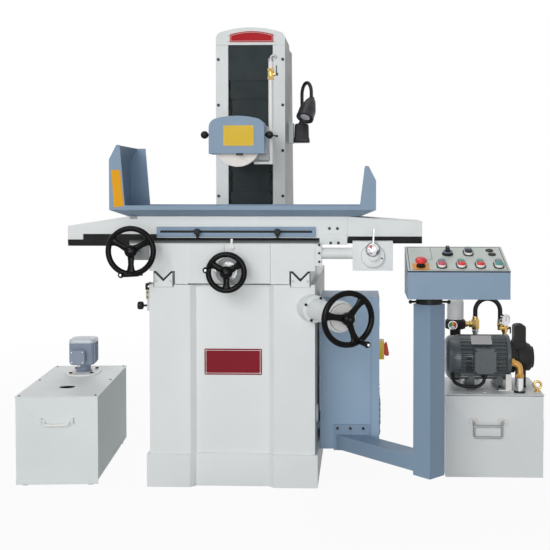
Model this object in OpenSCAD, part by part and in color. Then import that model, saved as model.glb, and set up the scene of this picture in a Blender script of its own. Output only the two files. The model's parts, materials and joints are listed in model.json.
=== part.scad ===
// Hydraulic surface grinder with its coolant tank, oil unit and control pendant.
// Millimetres. X runs along the table, Y goes away from the operator, Z is up.
// The origin lies on the floor under the base.

/* [Base] */
// Width of the base body
base_w = 613; // [590:1:640]
// Depth of the base body, front to back
base_d = 940; // [925:1:1000]
// Height of the base body
base_h = 750; // [735:1:770]
// Distance from the origin to the front of the base
base_front = 450; // [440:1:460]
// Wall of the base casting
base_wall = 25; // [20:1:30]
// Height of the plinth
plinth_h = 122; // [100:1:150]
// How far the plinth stands out
plinth_lip = 10; // [6:1:14]
// Width of the sunk front panel
panel_w = 270; // [220:1:300]
// Depth of the sunk front panel
panel_sink = 20; // [10:1:24]

/* [Saddle] */
// Distance between the two vee ways
way_gap = 506; // [490:1:516]
// Width of a way
way_w = 74; // [66:1:80]
// Height of a way over the base
way_h = 50; // [45:1:55]
// Depth of the vee
vee_depth = 28; // [20:1:32]
// Length of the saddle, front to back
saddle_d = 480; // [460:1:484]
// Height of the saddle deck over the ways
saddle_h = 85; // [80:1:92]
// Height of the lip along the front of the deck
lip_h = 17; // [10:1:20]
// Thickness of the front apron
apron_t = 40; // [30:1:50]
// Height of the table rails over the deck
rail_h = 34; // [32:1:38]
// Width of a table rail
rail_w = 36; // [28:1:40]
// Distance between the table rails
rail_gap = 140; // [134:1:150]
// Cross travel of the saddle
cross_travel = 220; // [180:1:224]
// Rearward part of the saddle's travel
cross_back = 55; // [40:1:60]

/* [Table] */
// Width of the table casting
table_w = 210; // [206:1:216]
// Height of the table casting
table_h = 81; // [76:1:90]
// Length of the table casting
table_l = 826; // [800:1:860]
// Length of the left end cover
left_end_l = 234; // [200:1:260]
// Length of the right end cover
right_end_l = 278; // [240:1:300]
// Drop of the left end cover's top at its outer end
left_end_drop = 36; // [20:1:45]
// Drop of the right end cover's top at its outer end
right_end_drop = 19; // [10:1:40]
// Length of the working surface
pad_l = 460; // [400:1:500]
// Width of the working surface
pad_w = 200; // [180:1:204]
// Height of the working surface over the casting
pad_h = 15; // [12:1:20]
// Width of the tee slot
slot_w = 14; // [12:1:16]
// Left end of the table casting from the origin
table_x0 = -400; // [-420:1:-390]
// Middle of the table from the origin, towards the operator
table_y = 265; // [262:1:270]
// Table travel to the left
table_left = 285; // [240:1:290]
// Table travel to the right
table_right = 215; // [180:1:220]
// Sheet of the covers and guards
sheet = 3; // [2:0.5:4]

/* [Splash tray] */
// Half of the tray's length
tray_half = 496; // [480:1:510]
// Depth of the tray, front to back
tray_d = 320; // [310:1:330]
// Height of the tray's rim over the table casting
tray_h = 42; // [38:1:48]
// Height of the tray's bevelled foot
tray_bevel = 25; // [18:1:28]
// Height of the left guard over the table casting
left_guard_h = 267; // [240:1:280]
// Height of the right guard over the table casting
right_guard_h = 188; // [160:1:200]
// Height of the leaning strip on top of a guard
guard_lean_h = 54; // [40:1:60]
// How far the leaning strip leans in
guard_lean = 28; // [20:1:34]
// Width of a guard's flanges at the foot
flange_w = 59; // [50:1:64]
// How much wider the left guard's back flange is
back_more = 24; // [0:1:30]

/* [Column] */
// Width of the column's front
column_w = 300; // [294:1:310]
// Width of the column's back
column_back_w = 330; // [320:1:340]
// Front of the column from the origin
column_y = 159; // [156:1:165]
// Height of the column casting over the base
column_h = 974; // [960:1:990]
// Depth of the column's foot
column_d = 321; // [312:1:326]
// How far the back leans in at the top
column_lean = 80; // [60:1:85]
// Wall of the column casting
column_wall = 22; // [18:1:24]
// Width of the front slot
column_slot = 192; // [186:1:200]
// Height of the cap
cap_h = 76; // [70:1:86]
// Rise of the cap's arch
cap_rise = 26; // [20:1:30]
// Radius of the cap's shoulders
cap_shoulder = 34; // [20:1:40]
// Sheet of the telescopic covers
cover_t = 2; // [1.5:0.1:2.4]

/* [Wheelhead] */
// Diameter of the grinding wheel
wheel_dia = 180; // [170:1:184]
// Width of the grinding wheel
wheel_w = 19; // [13:1:25]
// Height of the spindle over the table casting
spindle_up = 279; // [276:1:290]
// Middle of the wheel from the origin, towards the operator
wheel_y = 275; // [272:1:280]
// Diameter of the spindle
spindle_dia = 44; // [40:1:48]
// Width of the wheelhead casting
head_w = 160; // [150:1:168]
// Height of the wheelhead casting
head_h = 148; // [140:1:156]
// Downward travel of the wheelhead
lift_down = 140; // [120:1:142]
// Upward travel of the wheelhead
lift_up = 150; // [120:1:152]
// Half width of the wheel guard
guard_half = 107; // [102:1:110]
// Depth of the wheel guard
guard_d = 95; // [88:1:100]
// Rise of the wheel guard's arched top
guard_rise = 18; // [10:1:24]
// Radius of the wheel guard's shoulders
guard_shoulder = 36; // [24:1:44]
// Bottom of the wheel guard over the wheel's lowest point
guard_up = 49; // [45:1:55]

/* [Handwheels] */
// Diameter of the table handwheel
table_wheel_dia = 184; // [176:1:190]
// Diameter of the cross handwheel
cross_wheel_dia = 150; // [140:1:156]
// Diameter of the elevation handwheel
lift_wheel_dia = 194; // [186:1:200]
// Diameter of a handwheel's rim
rim_dia = 20; // [16:1:22]
// Diameter of a handwheel's shaft
shaft_dia = 20; // [18:1:21]
// Length of a grip
grip_l = 72; // [60:1:80]
// Diameter of a grip
grip_dia = 20; // [16:1:22]
// Pitch diameter of the table pinion
pinion_dia = 25; // [24:1:26]
// Angle of the elevation handwheel from straight ahead
lift_turn = 25; // [24:0.5:26]
// Length from the base to the elevation handwheel
lift_reach = 329; // [320:1:336]

/* [Electric cabinet] */
// Width of the cabinet
cabinet_w = 198; // [180:1:210]
// Depth of the cabinet
cabinet_d = 240; // [220:1:244]
// Height of the cabinet
cabinet_h = 594; // [560:1:620]
// Height of the cabinet's foot over the floor
cabinet_up = 90; // [70:1:110]
// Front of the cabinet from the origin, towards the operator
cabinet_y = 250; // [240:1:256]
// Depth of the door
door_t = 32; // [26:1:34]

/* [Pendant] */
// Length of the pendant's arm
arm_l = 408; // [400:1:416]
// Height of the pendant's arm
arm_h = 55; // [45:1:65]
// Width of the square post
post_w = 79; // [65:1:80]
// Top of the post over the floor
post_top = 694; // [670:1:698]
// Height of the swivel collar
collar_h = 28; // [24:1:30]
// Width of the pendant box
pendant_w = 352; // [346:1:366]
// Depth of the pendant box
pendant_d = 230; // [220:1:236]
// Height of the pendant box's front
pendant_front_h = 95; // [85:1:97]
// Tilt of the control panel
pendant_tilt = 17; // [14:0.5:17.5]
// Distance from the box's left side to the post
pendant_left = 82; // [76:1:90]

/* [Coolant tank] */
// Width of the coolant tank
coolant_w = 302; // [280:1:320]
// Depth of the coolant tank
coolant_d = 611; // [580:1:630]
// Height of the coolant tank without its feet
coolant_h = 310; // [280:1:330]
// Height of the tank's feet
coolant_foot = 20; // [14:1:26]
// Turn of the coolant tank on the floor
coolant_turn = 4.3; // [0:0.1:6]

/* [Oil unit] */
// Width of the oil tank
oil_w = 371; // [360:1:390]
// Depth of the oil tank
oil_d = 330; // [310:1:350]
// Height of the oil tank
oil_h = 315; // [290:1:330]
// Diameter of the pump's motor
motor_dia = 178; // [166:1:184]
// Length of the pump's motor
motor_l = 241; // [230:1:250]
// Bore of the oil hose's bend
hose_dia = 17; // [14:1:19]

/* [Fits] */
// Running clearance of a shaft in its bore
run_clear = 0.05; // [0.02:0.01:0.1]
// Clearance of a sliding way
way_clear = 0.3; // [0.2:0.05:0.5]
// Gap between parts that pass each other
pass_gap = 0.5; // [0.4:0.1:1]

/* [Hidden] */
$fn = 64;
base_y0 = -base_front;
base_y1 = base_y0 + base_d;
way_top = base_h + way_h;
deck_z = way_top + saddle_h;
table_z0 = deck_z + rail_h;
table_z1 = table_z0 + table_h;
pad_z = table_z1 + pad_h;
table_x1 = table_x0 + table_l;
table_mid = table_x0 + table_l / 2 + (right_end_l - left_end_l) / 2;
table_y0 = -table_y - table_w / 2;
table_y1 = -table_y + table_w / 2;
saddle_y0 = base_y0 + 5;
saddle_y1 = saddle_y0 + saddle_d;
rail_y = [-table_y - rail_gap / 2, -table_y + rail_gap / 2];
column_z1 = base_h + column_h;
spindle_z = table_z1 + spindle_up;
slim = 1;
far = 4000;

// Feed screws and shafts
cross_x = -10;
cross_z = way_top + 2;
cross_r = 11;
nut_w = 60;
nut_l = 60;
nut_y0 = saddle_y0 + apron_t + cross_back + 10;
cross_end = nut_y0 + nut_l + cross_travel - cross_back + 10;
rack_z0 = deck_z + 6;
pinion_z = rack_z0 - pinion_dia / 2 - pass_gap;
rack_t = 9;
rack_y = table_y0 + sheet + 3;
table_wheel_x = -356;
screw_r = 12;
screw_x = 104;
screw_y = column_y + 61;
lift_z = base_h - 84;
gear_w = 80;
shaft_r = shaft_dia / 2;
wheel_out = 80;
hub_back = 30;
hub_l = 42;
grip_root = 16;
grip_neck = 12;
table_grip_lean = 57;

// Elevation handwheel's hub, found from where its axis leaves the base
lift_x = base_w / 2 - 13.5;
lift_dir = [-sin(lift_turn), cos(lift_turn), 0];
lift_hub = [lift_x, base_y0, lift_z] - lift_reach * lift_dir;
lift_run = (lift_hub[0] - screw_x) / sin(lift_turn);
gear_y = lift_hub[1] + lift_run * cos(lift_turn);

// Speed valve on the saddle's right side, with its dial on an off-centre boss
gear_case_x = table_wheel_x - 22;
valve_x0 = base_w / 2;
valve_y = saddle_y0 + 30;
valve_z0 = deck_z - 28;
valve_flange = 24;
valve_tube_r = 21;
block_x0 = valve_x0 + 138;
block_w = 148;
block_half_h = 54;
block_y0 = valve_y - 30;
knob_x = block_x0 + block_w / 2;
dial_z = valve_z0 + 1;
dial_r = 43;
dial_t = 10;
knob_z = dial_z + 24;
knob_r = 24;
knob_stem_r = 8;

// Stop rail and its dogs on the table's front
stop_x0 = -294;
stop_l = 600;
stop_z0 = table_z0 + 4;
stop_h = 38;
stop_t = 8;
stop_slot_z = stop_z0 + 20;
bracket_l = 104;
bracket_t = 6;
bracket_h = 40;
bracket_up = 16;
dog_left_x = -138;
dog_right_x = 163;

// Skirts under the table's end covers
skirt_z0 = deck_z + 14;
left_foot = skirt_z0 + 13;
right_foot = skirt_z0 + 26;
step_x = table_x0 - left_end_l + 59;
step_z = right_foot + 8;

// Hydraulic cylinder under the table
cyl_r = 30;
cyl_wall = 6;
rod_end = 14;
cyl_z = deck_z + 40;
cyl_half = base_w / 2 - 6;
rod_r = 10;
channel_w = 2 * cyl_r + 20;
channel_top = cyl_z + cyl_r + 8;

// Telescopic covers of the column's slot
neck_over = 90;
neck_z1 = spindle_z + neck_over;
neck_z0 = neck_z1 - head_h;
cover_y = column_y + 4;
layer = cover_t + pass_gap;
cover_half = column_slot / 2 - 16;
top_cover_z = neck_z1 + lift_up + 52;
low_cover_z = neck_z0 - lift_down - 49;

// Screws down both sides of the column's front
screw_in = 11;
screw_foot = 324;
screw_pitch = 196;

// Carriage behind the column's front, and the motor on it
carriage_half = column_w / 2 - column_wall - 3;
carriage_y0 = column_y + column_wall + way_clear;
carriage_y1 = carriage_y0 + 60;
stator_r = 84;
stator_l = 130;
rotor_r = 45;
flange_r = 38;

// Wheel guard
guard_z0 = spindle_z - wheel_dia / 2 + guard_up;
guard_top = spindle_z + wheel_dia / 2 + 14;
guard_y0 = -wheel_y - 35;
guard_y1 = guard_y0 + guard_d;
guard_plate = 6;
head_y0 = guard_y1;
pipe_r = 9.5;
nozzle_r = 5.5;
nozzle_l = 66;
pipe_x = guard_half + pipe_r + 9;
pipe_y = guard_y1 - 25;
pipe_z0 = spindle_z - wheel_dia / 2 + 16;
pipe_z1 = spindle_z + 321;
valve_z = spindle_z + 270;
valve_body_r = 13;
valve_neck = 18;

head_cover_up = 230;
head_cover_down = 244;

// Cabinet and pendant
cabinet_x0 = base_w / 2 + plinth_lip + pass_gap;
cabinet_x1 = cabinet_x0 + cabinet_w;
cabinet_y1 = -cabinet_y + cabinet_d;
cabinet_z1 = cabinet_up + cabinet_h;
door_x0 = cabinet_x1 + pass_gap;
door_x1 = door_x0 + door_t;
hinge_r = 6;
knuckle_h = 36;
leaf_w = 24;
leaf_t = 3;
hinge_z = [cabinet_up + 110, cabinet_z1 - 110];
switch_y = -90;
switch_z = cabinet_up + 365;
arm_x = cabinet_x1 - 85;
arm_z = cabinet_up + 2;
post_x = arm_x + arm_l * cos(45);
post_y = -cabinet_y - arm_l * sin(45);
collar_r = 47;
clamp_l = 72;
clamp_r = 4;
clamp_ball_r = 7;
clamp_up = 9;
box_z = post_top + collar_h;
box_x0 = post_x - pendant_left;
box_y0 = post_y - pendant_d / 2;
panel_len = pendant_d / cos(pendant_tilt);
panel_t = 4;
stop_at = [47, 40];
stop_r = 20;
stop_neck_h = 16;
stop_cap_h = 12;
selector_at = [150, 160];
selector_h = 12;
wing_h = 18;
twin_at = [[120, 52], [188, 52], [254, 52], [318, 52], [225, 173]];
button_r = 14;
button_h = 14;

// Free-standing units
coolant_at = [-803.5, -470];
coolant_z0 = coolant_foot;
coolant_z1 = coolant_z0 + coolant_h;
pump_back = 142;
pump_flange_r = 68;
pump_flange_run = 27;
pump_flange_t = 6;
pump_neck_r = 28;
pump_neck_h = 32;
pump_body = 106;
pump_corner = 16;
pump_body_h = 96;
pump_cap_h = 13;
pump_stem_r = 34;
pump_box = [58, 26, 56];
return_front = 174;
return_r = 30;
coolant_pump_at = [coolant_w / 2, coolant_d - pump_back];
coolant_hole_at = [coolant_w / 2, return_front];
lid_t = 4;
lid_lip = 3;
oil_x0 = 801;
oil_y0 = -304;
oil_lid_z = oil_h + lid_t;
motor_y = oil_y0 + 154;
motor_z = oil_lid_z + motor_dia / 2 + 29;
motor_x0 = oil_x0 + 20;
motor_x1 = motor_x0 + motor_l;
pump_r = 54;
pump_l = 96;
tank_wall = 3;
bail_r = 5;
coolant_bail_z = coolant_z1 - 84;
coolant_bail_w = 100;
oil_bail_x = 160;
oil_bail_z = oil_h - 100;
oil_bail_w = 116;
hose_r = hose_dia / 2;
hose_bend = 51;
hose_x = motor_x0 + 127;
hose_z = motor_z + motor_dia / 2 + 45;
filter_x = motor_x0 + 45;
filter_y = motor_y + motor_dia / 2 + 55;
filter_z = hose_z - 4;
filter_r = 34;
filter_out = 60;
filter_head_h = 40;

// Lamp: a box on the column, a bent neck and a bell that points down to the wheel
lamp_z = spindle_z + 74;
lamp_y = column_y + 150;
lamp_pad = 27;
lamp_box = [70, 68, 84];
lamp_x = column_w / 2 + lamp_pad;
lamp_r = 7.5;
neck_foot = [lamp_x + 36, lamp_y];
neck_turn = -62;
neck_bend = 49;
neck_top = lamp_z + 171;
bell_z = neck_top - 31;
bell_r = 37;
bell_l = 100;
bell_tilt = [-31, 15];

// Oiler on the base's left side
oiler_z = base_h - 85;
oiler_y = base_y0 + 62;
oiler_t = 22;
oiler_half = 22;
oiler_pin_r = 6;

// A block between two corners
module span(a, b) {
    translate(a) cube(b - a);
}

// Round bars along each axis
module bar_x(x0, x1, y, z, r) {
    translate([x0, y, z]) rotate([0, 90, 0]) cylinder(h = x1 - x0, r = r);
}

module bar_y(x, y0, y1, z, r) {
    translate([x, y0, z]) rotate([-90, 0, 0]) cylinder(h = y1 - y0, r = r);
}

module bar_z(x, y, z0, z1, r) {
    translate([x, y, z0]) cylinder(h = z1 - z0, r = r);
}

// An outline in X and Z, drawn through Y
module prism_y(y0, y1, points) {
    translate([0, y1, 0]) rotate([90, 0, 0]) linear_extrude(y1 - y0) polygon(points);
}

// An outline in Y and Z, drawn through X
module prism_x(x0, x1, points) {
    translate([x0, 0, 0]) rotate([90, 0, 90]) linear_extrude(x1 - x0) polygon(points);
}

// Part of a bent bar: a ring of the bend's radius, turned through an angle
module bend(bend_r, r, angle) {
    rotate_extrude(angle = angle) translate([bend_r, 0]) circle(r = r);
}

// Along the elevation handwheel's axis, with Z towards the operator
module on_lift_axis() {
    translate(lift_hub) rotate([0, 0, lift_turn]) rotate([90, 0, 0]) children();
}

// On the tilted panel, measured from its front left corner
module on_panel(at) {
    translate([box_x0, box_y0, box_z + pendant_front_h]) rotate([pendant_tilt, 0, 0])
        translate([at[0], at[1], 0]) children();
}

// In the coolant tank's own frame
module on_coolant() {
    translate([coolant_at[0], coolant_at[1], 0]) rotate([0, 0, coolant_turn]) children();
}

// Three-spoke handwheel about Z, with its hub at the origin and its shaft going down to -reach.
// The grip stands on the rim and leans to the left by an angle.
module handwheel(dia, reach, turn, grip_turn, lean) {
    rim = (dia - rim_dia) / 2;
    hub_r = dia * 0.13;
    rotate_extrude() translate([rim, 0]) circle(d = rim_dia);
    translate([0, 0, -hub_back]) cylinder(h = hub_l, r = hub_r);
    translate([0, 0, -reach]) cylinder(h = reach, r = shaft_r);
    for (k = [0:2]) rotate([0, 0, turn + 120 * k]) rotate([0, 90, 0]) cylinder(h = rim, d = rim_dia * 0.8);
    translate([rim * cos(grip_turn), rim * sin(grip_turn), 0]) rotate([0, -lean, 0]) {
        cylinder(h = grip_root + slim, d = grip_neck);
        translate([0, 0, grip_root]) cylinder(h = grip_l, d = grip_dia);
    }
}

module way_outline(x, w, z0, z1, deep) {
    polygon([[x - w / 2, z0], [x + w / 2, z0], [x + w / 2, z1], [x + deep, z1], [x, z1 - deep],
        [x - deep, z1], [x - w / 2, z1]]);
}

module panel_cut(front, half, z0, z1) {
    out = panel_sink + slim;
    translate([0, 0, z0]) linear_extrude(z1 - z0) polygon([[-half - out, front - slim],
        [half + out, front - slim], [half, front + panel_sink], [-half, front + panel_sink]]);
}

module base_casting() {
    half = base_w / 2;
    color("gainsboro") difference() {
        union() {
            span([-half - plinth_lip, base_y0 - plinth_lip, 0], [half + plinth_lip, base_y1, plinth_h]);
            span([-half, base_y0, plinth_h], [half, base_y1, base_h]);
            for (s = [-1, 1]) translate([0, saddle_y1 + cross_back, 0]) rotate([90, 0, 0])
                linear_extrude(saddle_y1 + cross_back - base_y0)
                    way_outline(s * way_gap / 2, way_w, base_h, way_top, vee_depth);
        }
        span([-half + base_wall, base_y0 + panel_sink + base_wall, base_wall],
            [half - base_wall, base_y1 - base_wall, base_h - base_wall]);
        panel_cut(base_y0, panel_w / 2, plinth_h, base_h + slim);
        panel_cut(base_y0 - plinth_lip, panel_w / 2, -slim, plinth_h);
        bar_z(screw_x, screw_y, base_h - base_wall - slim, base_h + slim, screw_r + run_clear);
        on_lift_axis() translate([0, 0, -lift_run]) cylinder(h = lift_run, r = shaft_r + 2);
    }
}

module column_plan(inset) {
    f = column_w / 2 - inset;
    b = column_back_w / 2 - inset;
    polygon([[-f, column_y + inset], [f, column_y + inset], [b, column_y + column_d - inset],
        [-b, column_y + column_d - inset]]);
}

// The space behind the column's leaning back
module column_lean_cut(inset) {
    y1 = column_y + column_d - inset;
    prism_x(-column_back_w, column_back_w, [[y1, base_h], [y1 + far / 10, base_h],
        [y1 + far / 10, column_z1 + far / 10],
            [y1 - column_lean * (1 + far / 10 / column_h), column_z1 + far / 10]]);
}

module column_casting() {
    color("gainsboro") difference() {
        union() {
            difference() {
                translate([0, 0, base_h]) linear_extrude(column_h) column_plan(0);
                column_lean_cut(0);
            }
            span([column_w / 2 - column_wall / 2, lamp_y - 30, lamp_z - 45],
                [lamp_x, lamp_y + 30, lamp_z + 45]);
        }
        difference() {
            translate([0, 0, base_h - slim]) linear_extrude(column_h + 2 * slim) column_plan(column_wall);
            column_lean_cut(column_wall);
        }
        span([-column_slot / 2, column_y - slim, base_h + 5],
            [column_slot / 2, column_y + column_wall + slim, column_z1 + slim]);
    }
}

// A wall with an arched top: its half width, its foot and top, the arch's rise and the shoulders' radius
module arched_outline(half, foot, top, rise, shoulder) {
    arc_r = (half * half + rise * rise) / (2 * rise);
    arc_z = top - arc_r;
    side = half - shoulder;
    shoulder_z = arc_z + sqrt((arc_r - shoulder) * (arc_r - shoulder) - side * side);
    lean = [side, shoulder_z - arc_z] / (arc_r - shoulder);
    difference() {
        intersection() {
            translate([-half, foot]) square([2 * half, top - foot]);
            translate([0, arc_z]) circle(r = arc_r, $fn = 128);
        }
        for (s = [-1, 1]) difference() {
            polygon([[s * side, shoulder_z], [s * (side + half * lean[0]), shoulder_z + half * lean[1]],
                [s * 2 * half, shoulder_z + half], [s * 2 * half, shoulder_z]]);
            translate([s * side, shoulder_z]) circle(r = shoulder);
        }
    }
}

module cap_outline(inset) {
    arched_outline(column_w / 2 - inset, 0, cap_h - inset, cap_rise, cap_shoulder - inset);
}

module column_cap() {
    y1 = column_y + column_d - column_lean;
    color("gainsboro") difference() {
        translate([0, y1, column_z1]) rotate([90, 0, 0]) linear_extrude(y1 - column_y) cap_outline(0);
        translate([0, y1 - sheet, column_z1 - slim]) rotate([90, 0, 0])
            linear_extrude(y1 - column_y - 2 * sheet) cap_outline(sheet);
    }
}

module way_guards() {
    color("darkslategray") {
        span([-column_slot / 2, cover_y, top_cover_z], [column_slot / 2, cover_y + cover_t, column_z1]);
        span([-column_slot / 2, cover_y, base_h + 5], [column_slot / 2, cover_y + cover_t, low_cover_z]);
    }
    color("whitesmoke") translate([0, base_y0, 0]) rotate([90, 0, 0]) for (s = [-1, 1]) linear_extrude(sheet)
        way_outline(s * way_gap / 2, way_w, base_h - 8, way_top, vee_depth);
}

module feed_gear() {
    color("dimgray") {
        difference() {
            span([cross_x - nut_w / 2, nut_y0, base_h], [cross_x + nut_w / 2, nut_y0 + nut_l, cross_z + 28]);
            bar_y(cross_x, nut_y0 - slim, nut_y0 + nut_l + slim, cross_z, cross_r + run_clear);
        }
        difference() {
            span([screw_x - gear_w / 2, gear_y - gear_w / 2, lift_z - 35],
                [screw_x + gear_w / 2, gear_y + gear_w / 2, base_h - base_wall]);
            on_lift_axis() translate([0, 0, -lift_run + 10]) cylinder(h = lift_run, r = shaft_r + run_clear);
            bar_y(screw_x, gear_y + 15, gear_y + gear_w, lift_z, shaft_r + run_clear);
        }
        difference() {
            span([screw_x - gear_w / 2, screw_y - gear_w / 2, lift_z - 35],
                [screw_x + gear_w / 2, screw_y + gear_w / 2, base_h - base_wall]);
            bar_y(screw_x, screw_y - gear_w, screw_y - 20, lift_z, shaft_r + run_clear);
            bar_z(screw_x, screw_y, lift_z + 15, base_h, screw_r + run_clear);
        }
    }
}

module elevation_bracket() {
    color("gainsboro") difference() {
        on_lift_axis() {
            translate([0, 0, -76]) cylinder(h = 14, r = 55);
            translate([0, 0, -lift_reach - 60]) cylinder(h = lift_reach - 10, r = 38);
            translate([0, 0, -lift_reach - 60]) cylinder(h = 105, r = 50);
        }
        span([-far, base_y0, 0], [far, far, far]);
        on_lift_axis() translate([0, 0, -lift_run]) cylinder(h = lift_run, r = shaft_r + run_clear);
    }
}

module electric_cabinet() {
    color("lightsteelblue") {
        difference() {
            span([cabinet_x0, -cabinet_y, cabinet_up], [cabinet_x1, cabinet_y1, cabinet_z1]);
            span([cabinet_x0 + sheet, -cabinet_y + sheet, cabinet_up + sheet],
                [cabinet_x1 + slim, cabinet_y1 - sheet, cabinet_z1 - sheet]);
        }
        for (z = [plinth_h + 40, cabinet_z1 - 80]) span([base_w / 2, -cabinet_y + 30, z],
            [cabinet_x0, cabinet_y1 - 30, z + 30]);
        for (z = hinge_z) {
            span([cabinet_x1 - leaf_w, cabinet_y1, z], [door_x1, cabinet_y1 + leaf_t, z + knuckle_h]);
            bar_z(door_x1, cabinet_y1, z, z + knuckle_h, hinge_r);
        }
    }
}

module square_post(w, z0, z1) {
    translate([post_x, post_y, z0]) rotate([0, 0, 45]) translate([-w / 2, -w / 2, 0]) cube([w, w, z1 - z0]);
}

// The arm's bar, from behind the cabinet's front to the post
module arm_bar(inset, run) {
    translate([arm_x, -cabinet_y, arm_z + inset]) rotate([0, 0, -45])
        translate([-post_w, -post_w / 2 + inset, 0])
            cube([post_w + run, post_w - 2 * inset, arm_h - 2 * inset]);
}

module pendant_arm() {
    wall = 4;
    plate_x0 = arm_x - 60;
    color("lightsteelblue") difference() {
        union() {
            arm_bar(0, arm_l);
            square_post(post_w, arm_z - 14, post_top);
            span([plate_x0, -cabinet_y - 6, arm_z - 6], [cabinet_x1 - 4, -cabinet_y, arm_z + arm_h + 40]);
        }
        span([plate_x0 - far, -cabinet_y, 0], [far, far, far]);
        square_post(post_w - 2 * wall, arm_z - 14 + wall, post_top - wall);
        difference() {
            arm_bar(wall, arm_l - post_w / 2 + wall);
            span([plate_x0 - far, -cabinet_y - 10, 0], [far, far, far]);
        }
    }
    color("black") {
        bar_z(post_x, post_y, post_top, box_z, collar_r);
        for (a = [200, 340]) translate([post_x, post_y, post_top + clamp_up]) rotate([0, 90, a]) {
            cylinder(h = clamp_l, r = clamp_r);
            translate([0, 0, clamp_l]) sphere(r = clamp_ball_r);
        }
    }
}

module open_tank(w, d, z0, z1) {
    difference() {
        span([0, 0, z0], [w, d, z1]);
        span([tank_wall, tank_wall, z0 + tank_wall], [w - tank_wall, d - tank_wall, z1 + slim]);
    }
}

// Two ears that carry a bail on a tank's front, at y = 0
module bail_ears(x, z, w) {
    for (s = [-1, 1]) difference() {
        span([x + s * (w / 2 + 8) - 5, -16, z - 9], [x + s * (w / 2 + 8) + 5, 0, z + 9]);
        bar_x(x + s * (w / 2 + 8) - 6, x + s * (w / 2 + 8) + 6, -9, z, bail_r - 2 + run_clear);
    }
}

module coolant_tank() {
    color("gainsboro") on_coolant() {
        open_tank(coolant_w, coolant_d, coolant_z0, coolant_z1);
        bail_ears(coolant_w / 2, coolant_bail_z, coolant_bail_w);
        for (x = [30, coolant_w - 30], y = [30, coolant_d - 30]) bar_z(x, y, 0, coolant_z0, 20);
    }
}

module tank_lids() {
    color("gainsboro") {
        on_coolant() difference() {
            span([-lid_lip, -lid_lip, coolant_z1],
                [coolant_w + lid_lip, coolant_d + lid_lip, coolant_z1 + lid_t]);
            translate([coolant_hole_at[0], coolant_hole_at[1], coolant_z1 - slim])
                cylinder(h = lid_t + 2 * slim, r = return_r);
            translate([coolant_pump_at[0], coolant_pump_at[1], coolant_z1 - slim])
                cylinder(h = lid_t + 2 * slim, r = pump_stem_r + 2);
        }
        span([oil_x0 - lid_lip, oil_y0 - lid_lip, oil_h],
            [oil_x0 + oil_w + lid_lip, oil_y0 + oil_d + lid_lip, oil_lid_z]);
    }
}

// A square prism with round corners
module soft_square(w, r, z0, z1) {
    for (p = [[w, w - 2 * r], [w - 2 * r, w]])
        translate([-p[0] / 2, -p[1] / 2, z0]) cube([p[0], p[1], z1 - z0]);
    for (x = [-1, 1], y = [-1, 1]) bar_z(x * (w / 2 - r), y * (w / 2 - r), z0, z1, r);
}

// Oval flange, neck, square motor with a terminal box in front, and the stem in the tank
module coolant_pump() {
    top = coolant_z1 + lid_t;
    neck_z = top + pump_flange_t;
    body_z = neck_z + pump_neck_h;
    cap_z = body_z + pump_body_h;
    color("slategray") on_coolant() translate([coolant_pump_at[0], coolant_pump_at[1], 0]) {
        for (y = [-1, 1]) bar_z(0, y * pump_flange_run, top, neck_z, pump_flange_r);
        translate([-pump_flange_r, -pump_flange_run, top])
            cube([2 * pump_flange_r, 2 * pump_flange_run, pump_flange_t]);
        bar_z(0, 0, neck_z, body_z, pump_neck_r);
        soft_square(pump_body, pump_corner, body_z, cap_z);
        soft_square(pump_body - 12, pump_corner, cap_z, cap_z + pump_cap_h);
        translate([-pump_box[0] + 18, -pump_body / 2 - pump_box[1], body_z + 8])
            cube([pump_box[0], pump_box[1] + 4, pump_box[2]]);
        bar_z(0, 0, coolant_z0 + 40, top, pump_stem_r);
    }
}

module hydraulic_tank() {
    color("gainsboro") translate([oil_x0, oil_y0, 0]) {
        open_tank(oil_w, oil_d, 0, oil_h);
        bail_ears(oil_bail_x, oil_bail_z, oil_bail_w);
    }
}

module hydraulic_motor() {
    r = motor_dia / 2;
    box_x = motor_x0 + motor_l * 0.56;
    color("dimgray") {
        bar_x(motor_x0, motor_x0 + 55, motor_y, motor_z, r * 0.94);
        bar_x(motor_x0 + 55, motor_x1 - 12, motor_y, motor_z, r * 0.93);
        bar_x(motor_x1 - 12, motor_x1, motor_y, motor_z, r);
        for (k = [0:17]) translate([motor_x0 + 58, motor_y, motor_z]) rotate([20 * k, 0, 0])
            translate([0, -2, r * 0.9]) cube([motor_l - 75, 4, r * 0.1]);
        for (x = [motor_x0 + 70, motor_x1 - 60]) span([x, motor_y - r * 0.85, oil_lid_z],
            [x + 34, motor_y + r * 0.85, motor_z - r * 0.55]);
        span([box_x - 42, motor_y - r - 34, motor_z - 48], [box_x + 42, motor_y - r * 0.6, motor_z + 48]);
    }
}

module hydraulic_pump() {
    z = motor_z;
    color("dimgray") {
        bar_x(motor_x1, motor_x1 + 22, motor_y, z, pump_r * 1.15);
        bar_x(motor_x1 + 22, motor_x1 + pump_l, motor_y, z, pump_r);
        span([motor_x1 + 18, motor_y - 30, z + pump_r * 0.6], [motor_x1 + 64, motor_y + 30, z + pump_r + 76]);
        span([motor_x1 + 30, motor_y - 22, oil_lid_z], [motor_x1 + 66, motor_y + 22, z - pump_r * 0.7]);
    }
}

module oil_filter() {
    head_z = filter_z - filter_head_h;
    color("whitesmoke") {
        bar_z(filter_x, filter_y, oil_lid_z, head_z, 22);
        bar_z(filter_x, filter_y, head_z, filter_z, filter_r + 8);
        bar_z(filter_x, filter_y, filter_z, filter_z + 80, filter_r);
        bar_z(filter_x, filter_y, filter_z + 80, filter_z + 85, filter_r - 6);
        span([filter_x + 20, filter_y - 14, head_z + 8], [filter_x + filter_out, filter_y + 14, head_z + 32]);
    }
}

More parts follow.
